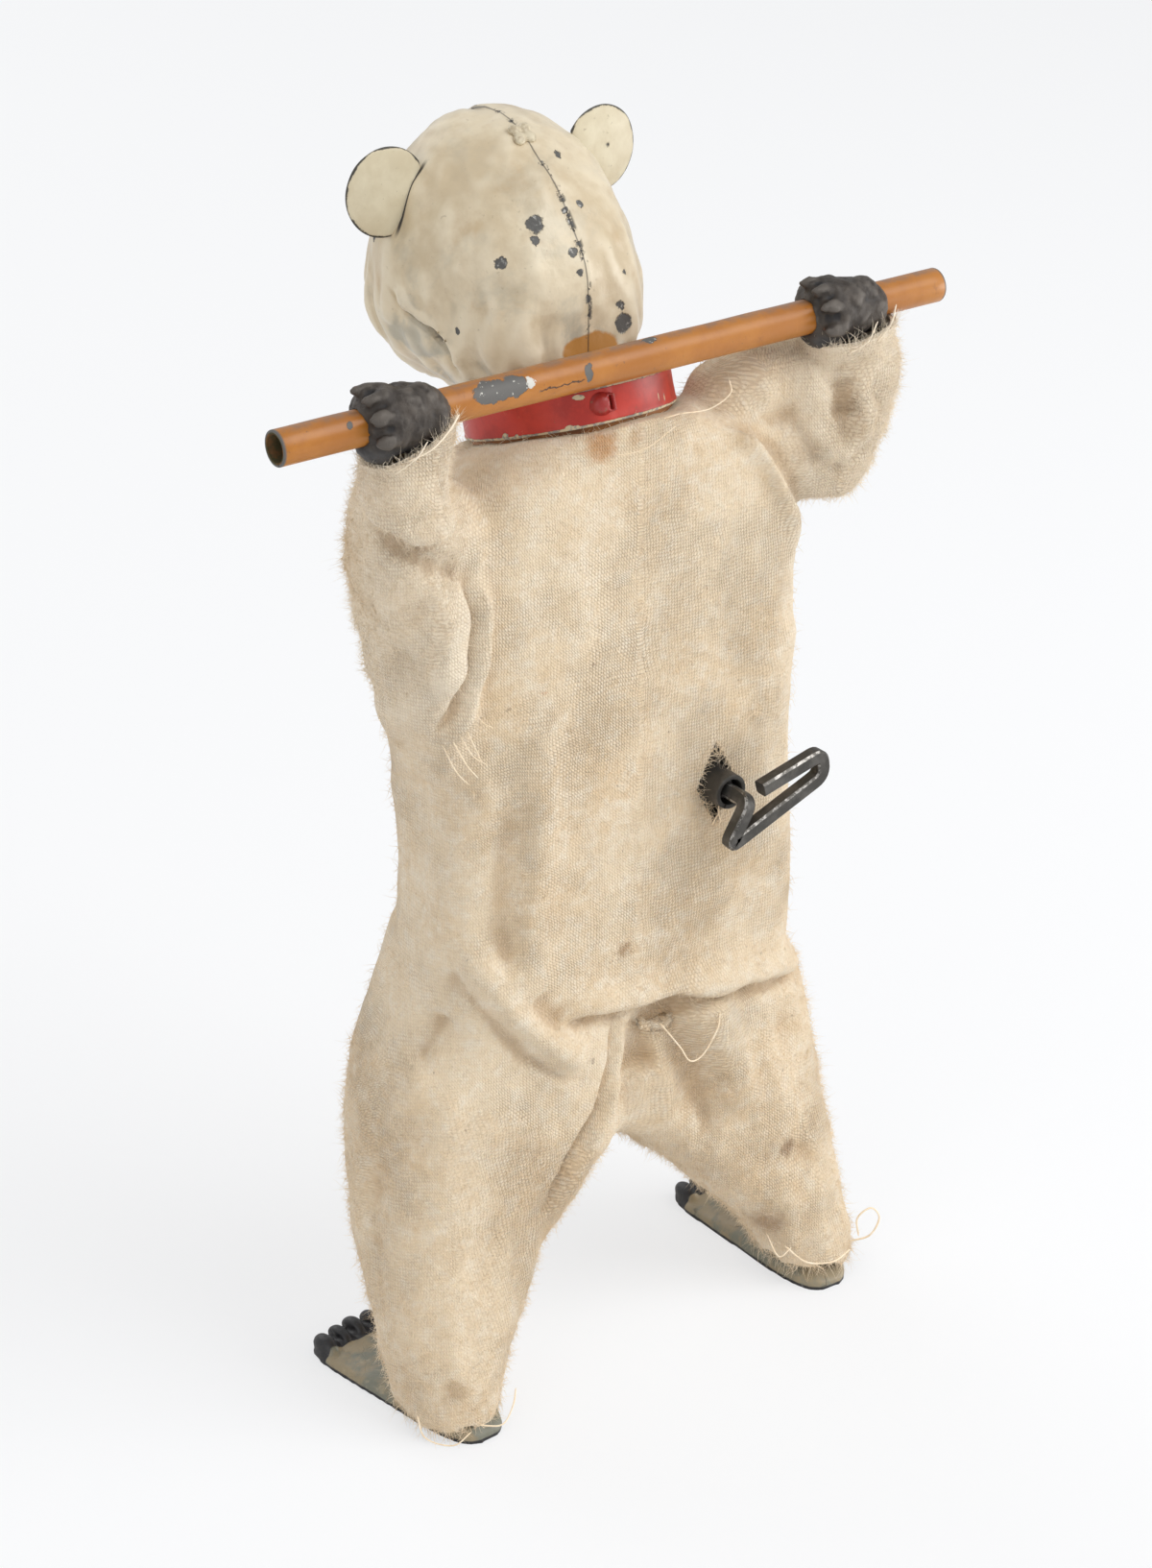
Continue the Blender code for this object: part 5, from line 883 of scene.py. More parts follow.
# Each set of threads: the part of the suit that it hangs on, and each thread's thickness and places
thread_sets = (
    ("suit_threads", 0, (
        (0.11, (14.6, 16.0, 154.2), (10.4, 21.6, 155.6), (4.0, 25.6, 157.0), (-2.4, 26.4, 157.6),
               (-7.0, 26.9, 158.0)),
        (0.1, (-7.0, 26.9, 158.0), (-12.0, 27.6, 157.9), (-15.4, 28.0, 159.6), (-15.8, 27.2, 161.4)),
        (0.07, (9.0, 23.0, 156.0), (5.6, 26.8, 154.6), (0.4, 28.2, 154.6), (-5.8, 27.6, 156.6)),
        (0.11, (-14.9, 28.2, 89.6), (-14.4, 29.4, 90.8), (-13.4, 30.2, 92.6), (-13.6, 29.8, 94.2)),
        (0.09, (-13.8, 28.2, 89.8), (-13.2, 29.6, 91.6), (-13.8, 30.4, 93.4)),
        (0.13, (-5.0, 27.2, 57.0), (-7.2, 29.6, 53.0), (-8.6, 30.4, 50.4), (-11.0, 30.6, 50.8),
               (-13.6, 30.8, 54.6), (-14.6, 30.2, 57.0)),
        (0.05, (-17.6, 28.4, 104.2), (-21.0, 28.9, 107.2), (-23.4, 28.8, 105.0), (-24.2, 28.6, 99.6)),
    )),
    ("cuff_threads_left", 3, (
        (0.13, (41.5, 29.6, 162.6), (38.8, 31.2, 164.2), (36.0, 31.2, 166.2), (33.6, 30.2, 167.8)),
        (0.1, (43.4, 28.8, 160.8), (41.2, 31.0, 163.4), (39.6, 31.4, 165.6)),
        (0.1, (31.4, 26.8, 119.4), (30.6, 28.4, 116.2), (29.6, 28.8, 113.4)),
        (0.09, (32.4, 26.8, 118.4), (31.0, 28.6, 114.8), (29.0, 29.4, 113.0)),
        (0.11, (33.4, 26.6, 117.6), (32.0, 28.4, 113.6), (30.4, 29.0, 111.2)),
        (0.09, (34.6, 26.2, 116.6), (33.6, 28.2, 112.8), (31.8, 28.8, 110.4)),
        (0.08, (30.6, 27.2, 122.6), (29.2, 28.4, 119.6), (27.4, 28.8, 118.2)),
    )),
    ("cuff_threads_right", 4, (
        (0.1, (-36.2, 29.8, 161.8), (-38.6, 31.2, 163.6), (-40.4, 31.2, 166.4)),
        (0.09, (-41.0, 30.4, 162.6), (-43.2, 31.0, 165.4), (-44.6, 30.4, 168.0)),
    )),
    ("hem_threads_left", 1, (
        (0.13, (37.0, 37.2, 4.0), (33.6, 38.4, 3.4), (31.0, 37.6, 5.4), (29.6, 36.4, 7.4)),
        (0.12, (44.6, 31.0, 5.6), (45.2, 34.2, 3.4), (42.2, 37.4, 2.6), (39.2, 38.0, 4.2)),
    )),
    ("hem_threads_right", 2, (
        (0.17, (-38.4, 36.4, 7.6), (-41.0, 38.6, 9.0), (-42.4, 39.2, 12.2), (-40.8, 38.8, 14.6),
               (-38.8, 37.8, 12.8), (-39.6, 37.4, 8.8)),
        (0.15, (-27.0, 33.4, 9.6), (-29.6, 36.0, 6.8), (-34.0, 37.6, 6.0), (-38.0, 37.2, 6.6)),
        (0.12, (-24.6, 31.4, 12.0), (-25.4, 33.8, 8.4), (-27.4, 34.6, 9.8)),
    )),
)
for name, number, runs in thread_sets:
    threads_shape = bmesh.new()
    for thick, *places in runs:
        thread(threads_shape, places, thick)
    bmesh.ops.recalc_face_normals(threads_shape, faces=threads_shape.faces)
    follow(finished(name, threads_shape, nap.material, 180), number)


# Head: two halves stamped from thin tin and painted cream, joined down the middle of the skull by a folded
# seam, with a rosette of tabs behind the crown. The halves gape a little at the very top, and the paint is
# chipped. Each row from the nape to the nose: place along the head, half width, top, bottom, and height of
# the widest place
head_rows = [(14.5, 5.5, 172.4, 162.6, 166.6), (12.9, 9.9, 178.4, 158.4, 167.4),
             (8.1, 14.3, 185.6, 155.8, 168.4), (0.9, 17.7, 192.0, 153.6, 169.8),
             (-6.7, 19.5, 195.2, 152.8, 170.4), (-13.9, 19.0, 195.2, 152.0, 170.8),
             (-20.5, 15.6, 190.4, 151.6, 170.0), (-25.6, 10.6, 183.0, 152.0, 168.4),
             (-30.2, 7.4, 176.4, 153.8, 167.2), (-34.3, 5.2, 172.8, 157.0, 166.2),
             (-36.2, 2.4, 170.2, 161.0, 165.8)]
head_shape, head_rings = bmesh.new(), []
for y, half, top, bottom, widest in smooth_rows(head_rows, 3):
    ring = []
    for i in range(44):
        angle = math.tau * i / 44
        rise, square = (top - widest, 2.15) if math.sin(angle) > 0 else (widest - bottom, 1.75)
        x, z = rounded(angle, max(half, 0.8), max(rise, 0.8), square)
        ring.append((x * MM, y * MM, (widest + z) * MM))
    head_rings.append(ring)
bag(head_shape, head_rings)
head_skin = Skin("head_base", head_shape, 0.00056, 8)
for path, width, height, *lip in (
        # the fold of the left cheek, in its picture on the right cheek too, and the waves under it
        ([(19.6, -6, 173), (19.4, -3.7, 170.9), (18.8, 0.8, 168.2), (17.2, 2.8, 164.2), (14.4, 2.6, 159.2)],
         1.15, 0.95, 1.7),
        ([(17.6, 5.0, 171), (18.4, 2.5, 174), (18.8, -0.5, 177)], 1.6, -0.6),
        ([(15.0, 8.8, 172), (14.8, 9.4, 166), (13.2, 9.8, 160)], 1.7, 0.55),
        ([(16.4, 7.0, 170), (16.2, 7.6, 165), (14.4, 7.6, 159.5)], 1.2, -0.5),
        ([(19.6, -9, 180), (19.9, -7, 174), (19.6, -9, 166)], 1.8, 0.5),
        ([(8.6, 12.2, 174), (10.0, 12.2, 169), (9.6, 12.6, 163)], 1.5, 0.5),
        ([(6.4, 13.4, 172), (7.0, 13.6, 167), (6.2, 13.6, 162)], 1.2, -0.4),
        ([(-19.4, -3.7, 170.9), (-18.8, 0.8, 168.2), (-17.2, 2.8, 164.2), (-14.4, 2.6, 159.2)], 1.3, -0.6),
        ([(-9.6, 11.4, 178), (-11.4, 11.0, 171), (-10.6, 11.4, 164)], 1.8, 0.45),
        ([(12, -2, 191), (15, -3, 187.4), (17, -4, 183.6)], 1.6, -0.35),
        # generic bear's face: brow over each eye, mouth and the stop of the snout
        ([(4.6, -25.4, 184.2), (8.6, -23.4, 186.2), (12.4, -20.4, 185.6)], 1.7, 0.9),
        ([(-4.6, -25.4, 184.2), (-8.6, -23.4, 186.2), (-12.4, -20.4, 185.6)], 1.7, 0.9),
        ([(7.2, -27, 181), (10.2, -24.6, 180.4), (12.4, -22, 181)], 1.2, -0.5),
        ([(-7.2, -27, 181), (-10.2, -24.6, 180.4), (-12.4, -22, 181)], 1.2, -0.5),
        ([(0.0, -36.0, 166.6), (0.0, -35.9, 164.4)], 0.7, -0.45),
        ([(0.0, -35.9, 164.2), (3.4, -34.4, 162.4), (6.4, -31.0, 162.0), (9.0, -26.4, 163.2)], 0.8, -0.75),
        ([(0.0, -35.9, 164.2), (-3.4, -34.4, 162.4), (-6.4, -31.0, 162.0), (-9.0, -26.4, 163.2)], 0.8,
         -0.75)):
    head_skin.crease(path, width, height, sum(lip))


def stamped_hair(x, y, z):
    """The lumpy relief of the stamping, deeper low on the sides than over the skull."""
    low = min(1.0, max(0.0, (184 - z) / 22)) * min(1.0, abs(x) / 8)
    tuft = noise.noise(Vector((x / 3.0, y / 3.0, z / 7.5)))
    dent = noise.noise(Vector((x / 8.5 + 3, y / 8.5, z / 8.5)))
    pit = noise.noise(Vector((x / 1.5, y / 1.5, z / 1.9 + 4)))
    return (0.24 + 0.80 * low) * tuft + 0.60 * dent + 0.09 * pit


head_skin.lumps(stamped_hair)
for place_on_head in head_skin.points:
    x, y, z = place_on_head
    near_seam = math.exp(-abs(x) / 1.6)
    gape = math.exp(-((y + 15.5) / 4.6) ** 2) * (z > 185)
    place_on_head[2] -= (1.1 * gape if x > 0 else 0.1 * gape) * near_seam
    if x < 0 and z > 160:
        place_on_head[1] += 0.16 * near_seam * (y > 0)
        place_on_head[2] += 0.16 * near_seam * (z > 185)
head_cut = head_skin.keep()

# Old cream paint on tin: yellowed and gone grey in clouds, chipped to grey tin; painted shade greys it low on
# the head and darkens its hollows, and a painted highlight lightens its crests
head_paint = Finish("head_paint", Specular_IOR_Level=0.45)
head_hollow, head_x, head_y, head_z = head_paint.attribute("hollow"), *(head_paint.place.axis(c)
                                                                        for c in "XYZ")
painted = head_paint.mottled((0.585, 0.475, 0.315), (0.70, 0.600, 0.43), 0.013, 5.0, 0.6, 0.42, 0.62)
# grey clouds of old paint, made stronger low on the head as painted shade on the lower sides
greyed_and_low_shade = head_paint.noise(0.009, 5.0, 0.65, 0.4).between(0.48,
                                                         0.66) * (head_z.between(0.183, 0.160) * 0.5 + 0.2)
# ochre blotches and specks of old paint; the hollows darkened and the deepest folds given a near black line as
# painted shade; the crests lightened as a painted highlight
for tone, where in (((0.47, 0.315, 0.155), head_paint.noise(0.007, 4.0, 0.6).between(0.52, 0.72) * 0.45),
                    ((0.33, 0.33, 0.28), greyed_and_low_shade),
                    ((0.26, 0.215, 0.15), head_hollow.between(0.53, 0.75) * 0.5),
                    ((0.80, 0.71, 0.54), head_hollow.between(0.48, 0.34) * 0.55),
                    ((0.07, 0.055, 0.04), head_hollow.between(0.80, 0.97) * 0.75),
                    ((0.38, 0.30, 0.20), head_paint.noise(0.0009, 3.0, 0.6).between(0.66, 0.74) * 0.45)):
    painted = painted.mix(tone, where)
head_chips = [((5.6, 8.9, 184.0), 1.5), ((6.3, 9.9, 181.9), 0.7), ((11.4, 8.5, 179.3), 1.0),
              ((-3.7, 1.9, 191.1), 0.8), ((-2.9, 8.3, 185.5), 0.6), ((-7.8, 13.0, 175.6), 0.7),
              ((-6.4, 14.6, 168.2), 1.7), ((-6.0, 14.2, 171.0), 0.9), ((16.3, 4.2, 168.8), 0.6),
              ((18.3, -13.3, 178.6), 0.6), ((0.3, 8.9, 185.1), 0.6), ((1.3, 12.2, 179.9), 0.8),
              ((1.0, 13.5, 177.2), 0.5), ((9.6, -6.5, 192.9), 0.45), ((-15.2, 6.0, 172.0), 0.6)]
scratched = head_paint.noise(0.0034, 6.0, 0.75).between(0.715, 0.735)
seam_line = abs(head_x)
seam_wear = head_paint.noise(0.0022, 4.0, 0.7).between(0.55, 0.62) * head_y.between(-0.024, -0.018)
seam_wear = seam_line.between(0.00075, 0.00015) * seam_wear
slot_wear = abs(head_y + 0.0081).between(0.00042, 0.00014)
slot_wear = slot_wear * head_z.between(0.1795, 0.1815) * head_z.between(0.1908, 0.1893)
chipped = scratched.most(seam_wear, *(head_paint.spot([c * MM for c in centre], radius * MM, 0.00075, 0.0011)
                                      for centre, radius in head_chips))
bare_tin = head_paint.mottled((0.115, 0.112, 0.105), (0.42, 0.41, 0.38), 0.0009, 4.0, 0.7, 0.56, 0.68)
rubbed_ochre = head_paint.spot((-0.0004, 0.0147, 0.1656), 0.0032, 0.0009, 0.003, (0.62, 1, 1.2))
painted = painted.mix((0.50, 0.24, 0.06), rubbed_ochre).mix(bare_tin, chipped)
painted = painted.mix((0.05, 0.045, 0.04), slot_wear.most(seam_line.between(0.00016, 0.00005) * 0.7))
brushed = head_paint.noise(0.0011, 4.0, 0.6) * 0.25 + head_paint.noise(0.0045, 3.0)
head_paint.set(Base_Color=painted, Roughness=0.28 + chipped * 0.2 + head_paint.noise(0.004, 3.0) * 0.14,
               Metallic=chipped * 0.55, Normal=head_paint.bump((1.0 - chipped) * 0.8 + brushed, 0.00024))
neck_place = Matrix.Translation((0, NECK_Y * MM, NECK_Z * MM)) @ Matrix.Rotation(LEAN, 4, "X")


def from_neck(c):
    """Height over the foot of the neck and distance from its axis."""
    up = (c - neck_middle).dot(neck_up)
    return up, ((c - neck_middle) - up * neck_up).length


cut(head_cut, neck_middle + 5.8 * neck_up, neck_up, lambda c: from_neck(c)[1] < 16.3 and c.z < 172, False)
cut(head_cut, (0.05, 0, 0), (1, 0, 0), lambda c: abs(c.x) < 2, False)
drop(head_cut, lambda c: from_neck(c)[1] < 16.3 and from_neck(c)[0] < 5.8)
head_cut.to_mesh(head_skin.mesh)
head_cut.free()
for name, side, node in (("head_shell_left", 1, "head_half_left"),
                         ("head_shell_right", -1, "head_half_right")):
    shape = bmesh.new()
    shape.from_mesh(head_skin.mesh)
    drop(shape, lambda c: (c.x - 0.05) * side <= 0)
    piece = walled(name, shape, 0.00045, head_paint.material)
    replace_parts(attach(piece, "bear"), node)


def turned(profile, steps, place):
    """A profile of radius and height pairs, in millimetres, spun round the upright axis and placed."""
    shape = bmesh.new()
    line = [shape.verts.new((r * MM, 0, h * MM)) for r, h in profile]
    closing = [line[0]] if profile[0][0] > 0 else []
    edges = [shape.edges.new(pair) for pair in zip(line, line[1:] + closing)]
    bmesh.ops.spin(shape, geom=line + edges, cent=(0, 0, 0), axis=(0, 0, 1), angle=math.tau, steps=steps,
                   use_merge=True, use_duplicate=False)
    bmesh.ops.remove_doubles(shape, verts=shape.verts, dist=1e-7)
    bmesh.ops.recalc_face_normals(shape, faces=shape.faces)
    bmesh.ops.transform(shape, matrix=place, verts=shape.verts)
    return shape


# Ears: dished tin discs painted as the head, each pushed through a slot in the side of the skull. The paint
# has worn off round their rims.
for name, side in (("ear_disc_left", 1), ("ear_disc_right", -1)):
    middle = Vector((19.1 * side, -8.9, 186.6)) * MM
    ear_place = Matrix.Translation(middle) @ Matrix.Rotation(math.radians(-90), 4, "X")
    shape = turned(((0, 0.72), (2.4, 0.68), (4.6, 0.44), (6.0, 0.12), (6.5, 0.04), (6.7, -0.12),
                    (6.62, -0.32), (6.3, -0.38), (4.6, 0.0), (2.4, 0.24), (0, 0.28)), 72,
                   ear_place @ Matrix.Rotation(0.06 * side, 4, "Y"))
    bmesh.ops.bisect_plane(shape, geom=shape.verts[:] + shape.edges[:] + shape.faces[:], dist=1e-7,
                           plane_co=(13.6 * side * MM, 0, 0), plane_no=(-side, 0, 0), clear_outer=True)
    bmesh.ops.holes_fill(shape, edges=shape.edges, sides=0)
    for vert in shape.verts:
        vert.co.y += 0.22 * noise.noise(vert.co / (4.2 * MM) + Vector((side * 7, 0, 0))) * MM
    paint = Finish(name + "_paint", Specular_IOR_Level=0.45)
    clouds, speck = paint.noise(0.006, 5.0, 0.6), paint.noise(0.0008, 3.0, 0.6)
    cream_here = paint.colour((0.62, 0.54, 0.375)).mix((0.70, 0.63, 0.46), clouds.between(0.40, 0.66))
    cream_here = cream_here.mix((0.34, 0.27, 0.17), speck.between(0.66, 0.74) * 0.5)
    worn_rim = 1.0 - paint.spot(middle, 6.58 * MM, 0.0005, 0.0024, soft=0.03)
    pits = paint.noise(0.0021, 6.0, 0.75).between(0.72, 0.74).most(worn_rim)
    if side < 0:
        pits = pits.most(paint.spot(middle + Vector((-1.0, 0.7, 0.6)) * MM, 0.55 * MM, 0.0004, 0.0008,
                                    soft=0.7))
    paint.set(Base_Color=cream_here.mix((0.075, 0.07, 0.06), pits), Roughness=0.36 + pits * 0.2 + clouds
              * 0.1, Metallic=pits * 0.5,
              Normal=paint.bump((1.0 - pits) * 0.7 + paint.noise(0.0035, 3.0) * 0.8 + speck * 0.12, 0.00014))
    ear = finished(name, shape, paint.material)
    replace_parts(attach(ear, "bear"), "ear_left" if side > 0 else "ear_right")

# Eyes: black glass beads, each seated in a stamped ring on the slope between forehead and snout
bead = Finish("eye_glass", Roughness=0.08, Coat_Weight=0.6, Coat_Roughness=0.05)
bead.set(Base_Color=bead.mottled((0.012, 0.010, 0.009), (0.05, 0.028, 0.012), 0.0012, 3.0, 0.55, 0.5, 0.7),
         Normal=bead.bump(bead.noise(0.0007, 2.0), 0.000008))
for name, side in (("eye_bead_left", 1), ("eye_bead_right", -1)):
    way = Vector((0.42 * side, -0.88, 0.22)).normalized()
    seat = Matrix.Translation(Vector((10.0 * side, -23.7, 181.8))
                              * MM) @ way.to_track_quat("Z", "Y").to_matrix().to_4x4()
    shape = turned(((0, 1.68), (0.62, 1.57), (1.13, 1.24), (1.42, 0.80), (1.50, 0.36), (1.62, 0.40),
                    (1.70, 0.24), (1.66, -0.2), (1.3, -0.9), (0, -1.2)), 28, seat)
    eye = finished(name, shape, bead.material)
    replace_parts(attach(eye, "bear"), "eye_left" if side > 0 else "eye_right")

# Nose: the end of the snout, painted black over the tin, with two dents for nostrils
nose_shape = bmesh.new()
ball(nose_shape, (0, -35.6, 169.4), (3.3, 1.8, 2.2), fine=4)
for vert in nose_shape.verts:
    c = vert.co / MM
    for side in (1, -1):
        away = math.hypot(c.x - 1.5 * side, (c.z - 169.0) * 1.3)
        if c.y < -36:
            vert.co.y += 0.75 * math.exp(-(away / 0.62) ** 2) * MM
    vert.co.x *= 1 - 0.10 * max(0.0, (169.4 - c.z))
nose_paint = Finish("nose_paint")
nose_paint.set(Base_Color=nose_paint.mottled((0.018, 0.016, 0.015), (0.09, 0.08, 0.07), 0.0013, 5.0, 0.7,
                                             0.58, 0.72), Roughness=0.28 + nose_paint.noise(0.002, 3.0) * 0.3,
               Normal=nose_paint.bump(nose_paint.noise(0.0006, 4.0), 0.00006))
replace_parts(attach(finished("nose_cap", nose_shape, nose_paint.material), "bear"), "nose")

# Rosette: four tin tabs bent over the seam behind the crown, which hold the two halves of the head together
rosette_place = Matrix.Translation(Vector((0.3, -1.7, 193.7))
                                   * MM) @ Matrix.Rotation(math.radians(-34), 4, "X")
rosette_shape = bmesh.new()
for turn, long in ((45, 1.45), (135, 1.3), (225, 1.4), (315, 1.35)):
    out = math.radians(turn)
    petal = rosette_place @ Matrix.Translation(Vector((1.18 * math.cos(out), 1.08 * math.sin(out), 0.16))
                                               * MM)
    petal = petal @ Matrix.Rotation(out, 4,
                                    "Z") @ Matrix.Diagonal((long * 0.86 * MM, 0.98 * MM, 0.62 * MM, 1))
    bmesh.ops.create_uvsphere(rosette_shape, u_segments=20, v_segments=12, radius=1.0, matrix=petal)
bmesh.ops.create_uvsphere(rosette_shape, u_segments=16, v_segments=8, radius=1.0,
                          matrix=rosette_place @ Matrix.Diagonal((1.3 * MM, 1.2 * MM, 0.34 * MM, 1)))
rosette_mesh = Skin("rosette_base", rosette_shape, 0.00013, 2).keep()
rosette_paint = Finish("rosette_paint", Specular_IOR_Level=0.45)
# the creases between the tabs darkened near black: painted shade
dark_line = rosette_paint.attribute("hollow").between(0.53, 0.66)
tab_cream = rosette_paint.mottled((0.64, 0.56, 0.40), (0.44, 0.36, 0.24), 0.0012, 4.0, 0.7, 0.45, 0.66)
rosette_paint.set(Base_Color=tab_cream.mix((0.05, 0.04, 0.03), dark_line), Roughness=0.4 + dark_line * 0.3,
                  Normal=rosette_paint.bump(rosette_paint.noise(0.0007, 4.0), 0.00007))
rosette = finished("crown_rosette", rosette_mesh, rosette_paint.material)
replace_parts(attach(rosette, "bear"), "crown_tab")

# Collar: a strip of red painted tin bent round the neck, its ends lapped and held by a stud with a slotted
# keeper
stud_turn, joint_turn = math.atan2(15.19, 4.6), math.atan2(15.6, 3.0)
collar_shape = turned([(15.36, 0.2), (15.55, 0.0), (15.82, 0.02), (15.93, 0.3), (15.82, 0.75), (15.78, 2.75),
                       (15.82, 4.75), (15.93, 5.2), (15.82, 5.48), (15.55, 5.5), (15.36, 5.3)], 190, Matrix())
for vert in collar_shape.verts:
    turn, out = math.atan2(vert.co.y, vert.co.x), Vector((vert.co.x, vert.co.y, 0)).normalized()
    lap = 0.26 if stud_turn - 0.5 < turn < joint_turn else 0.0
    lap *= min(1.0, (turn - stud_turn + 0.5) / 0.25)
    wave = noise.noise(Vector((math.cos(turn) * 3.1, math.sin(turn) * 3.1, 0.2)))
    vert.co += out * (lap + 0.16 * wave) * MM
    vert.co.z += 0.10 * noise.noise(Vector((math.cos(turn) * 4.0, math.sin(turn) * 4.0, 3))) * MM
bmesh.ops.transform(collar_shape, matrix=neck_place, verts=collar_shape.verts)
red = Finish("collar_paint", Specular_IOR_Level=0.5)
dust, rub = red.noise(0.005, 5.0, 0.65), red.noise(0.0013, 4.0, 0.7)
red_here = red.colour((0.50, 0.030, 0.014)).mix((0.37, 0.020, 0.010), dust.between(0.4, 0.65))
red_here = red_here.mix((0.50, 0.085, 0.05), rub.between(0.60, 0.76) * 0.5)
red_here = red_here.mix((0.20, 0.07, 0.03), red.noise(0.0036, 6.0, 0.7).between(0.62, 0.72) * 0.7)
low_edge = red.place.vector("DOT_PRODUCT", red.place,
                            tuple(neck_up)).out("Value") - neck_middle.dot(neck_up) * MM
edge_wear = low_edge.between(0.0008, 0.0001).most(low_edge.between(0.0046, 0.0054))
bared = (edge_wear + red.noise(0.0021, 5.0, 0.7)).between(1.10, 1.22)
for centre, radius, squeeze in (((15.0, 14.6, 155.3), 0.62, (1, 1, 0.75)),
                                ((14.2, 16.4, 155.7), 0.5, (1, 1, 0.8)),
                                ((9.2, 22.3, 158.0), 0.55, (0.7, 0.7, 1.3)),
                                ((8.2, 22.7, 158.2), 0.45, (0.7, 0.7, 1.4)),
                                ((7.4, 21.8, 162.2), 0.6, (0.55, 0.55, 1.4)),
                                ((-5.8, 23.5, 159.9), 0.4, (3.4, 1, 0.5)),
                                ((-7.2, 23.0, 159.4), 0.4, (3.4, 1, 0.5))):
    bared = bared.most(red.spot([c * MM for c in centre], radius * MM, 0.0003, 0.0007, squeeze, 0.1))
under_paint = red.mottled((0.60, 0.50, 0.33), (0.30, 0.28, 0.25), 0.0008, 3.0, 0.55, 0.48, 0.6)
red.set(Base_Color=red_here.mix(under_paint, bared), Roughness=0.34 + bared * 0.25 + dust * 0.12,
        Metallic=bared * 0.35, Normal=red.bump((1.0 - bared) * 0.8 + rub * 0.22 + dust * 0.3, 0.00013))
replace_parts(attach(finished("collar_band", collar_shape, red.material), "bear"), "collar")

# Stud of the collar: a domed rivet head beside the upright slot of its keeper
stud_place = neck_place @ Matrix.Rotation(stud_turn, 4, "Z") @ Matrix.Translation(Vector((16.0, 0, 2.9)) * MM)
stud_place = stud_place @ Matrix.Rotation(math.radians(90), 4, "Y")
stud_shape = turned([(0, 1.12), (0.62, 1.04), (1.15, 0.80), (1.50, 0.44), (1.68, 0.16), (1.78, 0.10),
                     (1.80, -0.1), (1.7, -0.25), (0, -0.25)], 36, stud_place)
keeper = bmesh.ops.create_cube(stud_shape, size=1.0,
                               matrix=stud_place @ Matrix.Translation(Vector((0, 1.35, 0.25)) * MM)
                               @ Matrix.Diagonal((2.6 * MM, 1.3 * MM, 0.9 * MM, 1)))
keeper_edges = dict.fromkeys(e for v in keeper["verts"] for e in v.link_edges)
bmesh.ops.bevel(stud_shape, geom=list(keeper_edges), offset=0.22 * MM, segments=2, profile=0.5, affect="EDGES",
                material=-1)
stud_skin = Skin("stud_base", stud_shape, 0.00011, 2)
slot_ends = [stud_place @ (Vector((across, 1.32, 0.75)) * MM) / MM for across in (-1.25, 0.0, 1.25)]
stud_skin.crease([tuple(point) for point in slot_ends], 0.2, -0.8)
stud_mesh = stud_skin.keep()
stud_paint = Finish("stud_paint", Specular_IOR_Level=0.5)
# the slot of the keeper darkened near black: painted shade in its recess
in_slot = stud_paint.attribute("hollow").between(0.53, 0.66)
rubbed = stud_paint.noise(0.0011, 5.0, 0.7).between(0.60, 0.68)
stud_paint.set(Base_Color=stud_paint.colour((0.34, 0.026,
                                             0.022)).mix((0.24, 0.10, 0.06),
                                                         rubbed).mix((0.015, 0.008, 0.007), in_slot),
               Roughness=0.32 + rubbed * 0.3, Normal=stud_paint.bump(stud_paint.noise(0.0006, 3.0), 0.00005))
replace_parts(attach(finished("collar_rivet", stud_mesh, stud_paint.material), "bear"),
            "collar_stud")


# Pole: a strip of tin rolled into a tube with its seam underneath, painted ochre outside and bare and rusty
# inside
def rolled_tube(radius, wall, long, opening, steps, rings, place):
    """A strip rolled up round the upright axis, open along one seam that faces the x axis."""
    shape = bmesh.new()
    start = Matrix.Rotation(math.radians(opening / 2), 4, "Z")
    corners = [shape.verts.new(start @ (Vector((r, 0, 0)) * MM)) for r in (radius - wall, radius)]
    edge = shape.edges.new(corners)
    bmesh.ops.spin(shape, geom=corners + [edge], cent=(0, 0, 0), axis=(0, 0, 1),
                   angle=math.radians(360 - opening), steps=steps, use_merge=False, use_duplicate=False)
    bmesh.ops.remove_doubles(shape, verts=shape.verts, dist=1e-7)
    grown = bmesh.ops.extrude_face_region(shape, geom=shape.faces[:])["geom"]
    bmesh.ops.translate(shape, vec=(0, 0, long * MM),
                        verts=[g for g in grown if isinstance(g, bmesh.types.BMVert)])
    bmesh.ops.recalc_face_normals(shape, faces=shape.faces)
    rims = [e for e in shape.edges if abs(e.verts[0].co.z - e.verts[1].co.z) < 1e-7
            and e.calc_length() < wall * 2 * MM
            and abs(e.verts[0].co.xy.length - e.verts[1].co.xy.length) <= 0.5 * wall * MM]
    bmesh.ops.bevel(shape, geom=rims, offset=0.24 * wall * MM, segments=2, profile=0.5, affect="EDGES",
                    material=-1)
    tall = [e for e in shape.edges if abs(e.verts[0].co.z - e.verts[1].co.z) > 0.5 * long * MM]
    bmesh.ops.subdivide_edges(shape, edges=tall, cuts=rings)
    bmesh.ops.transform(shape, matrix=place, verts=shape.verts)
    return shape


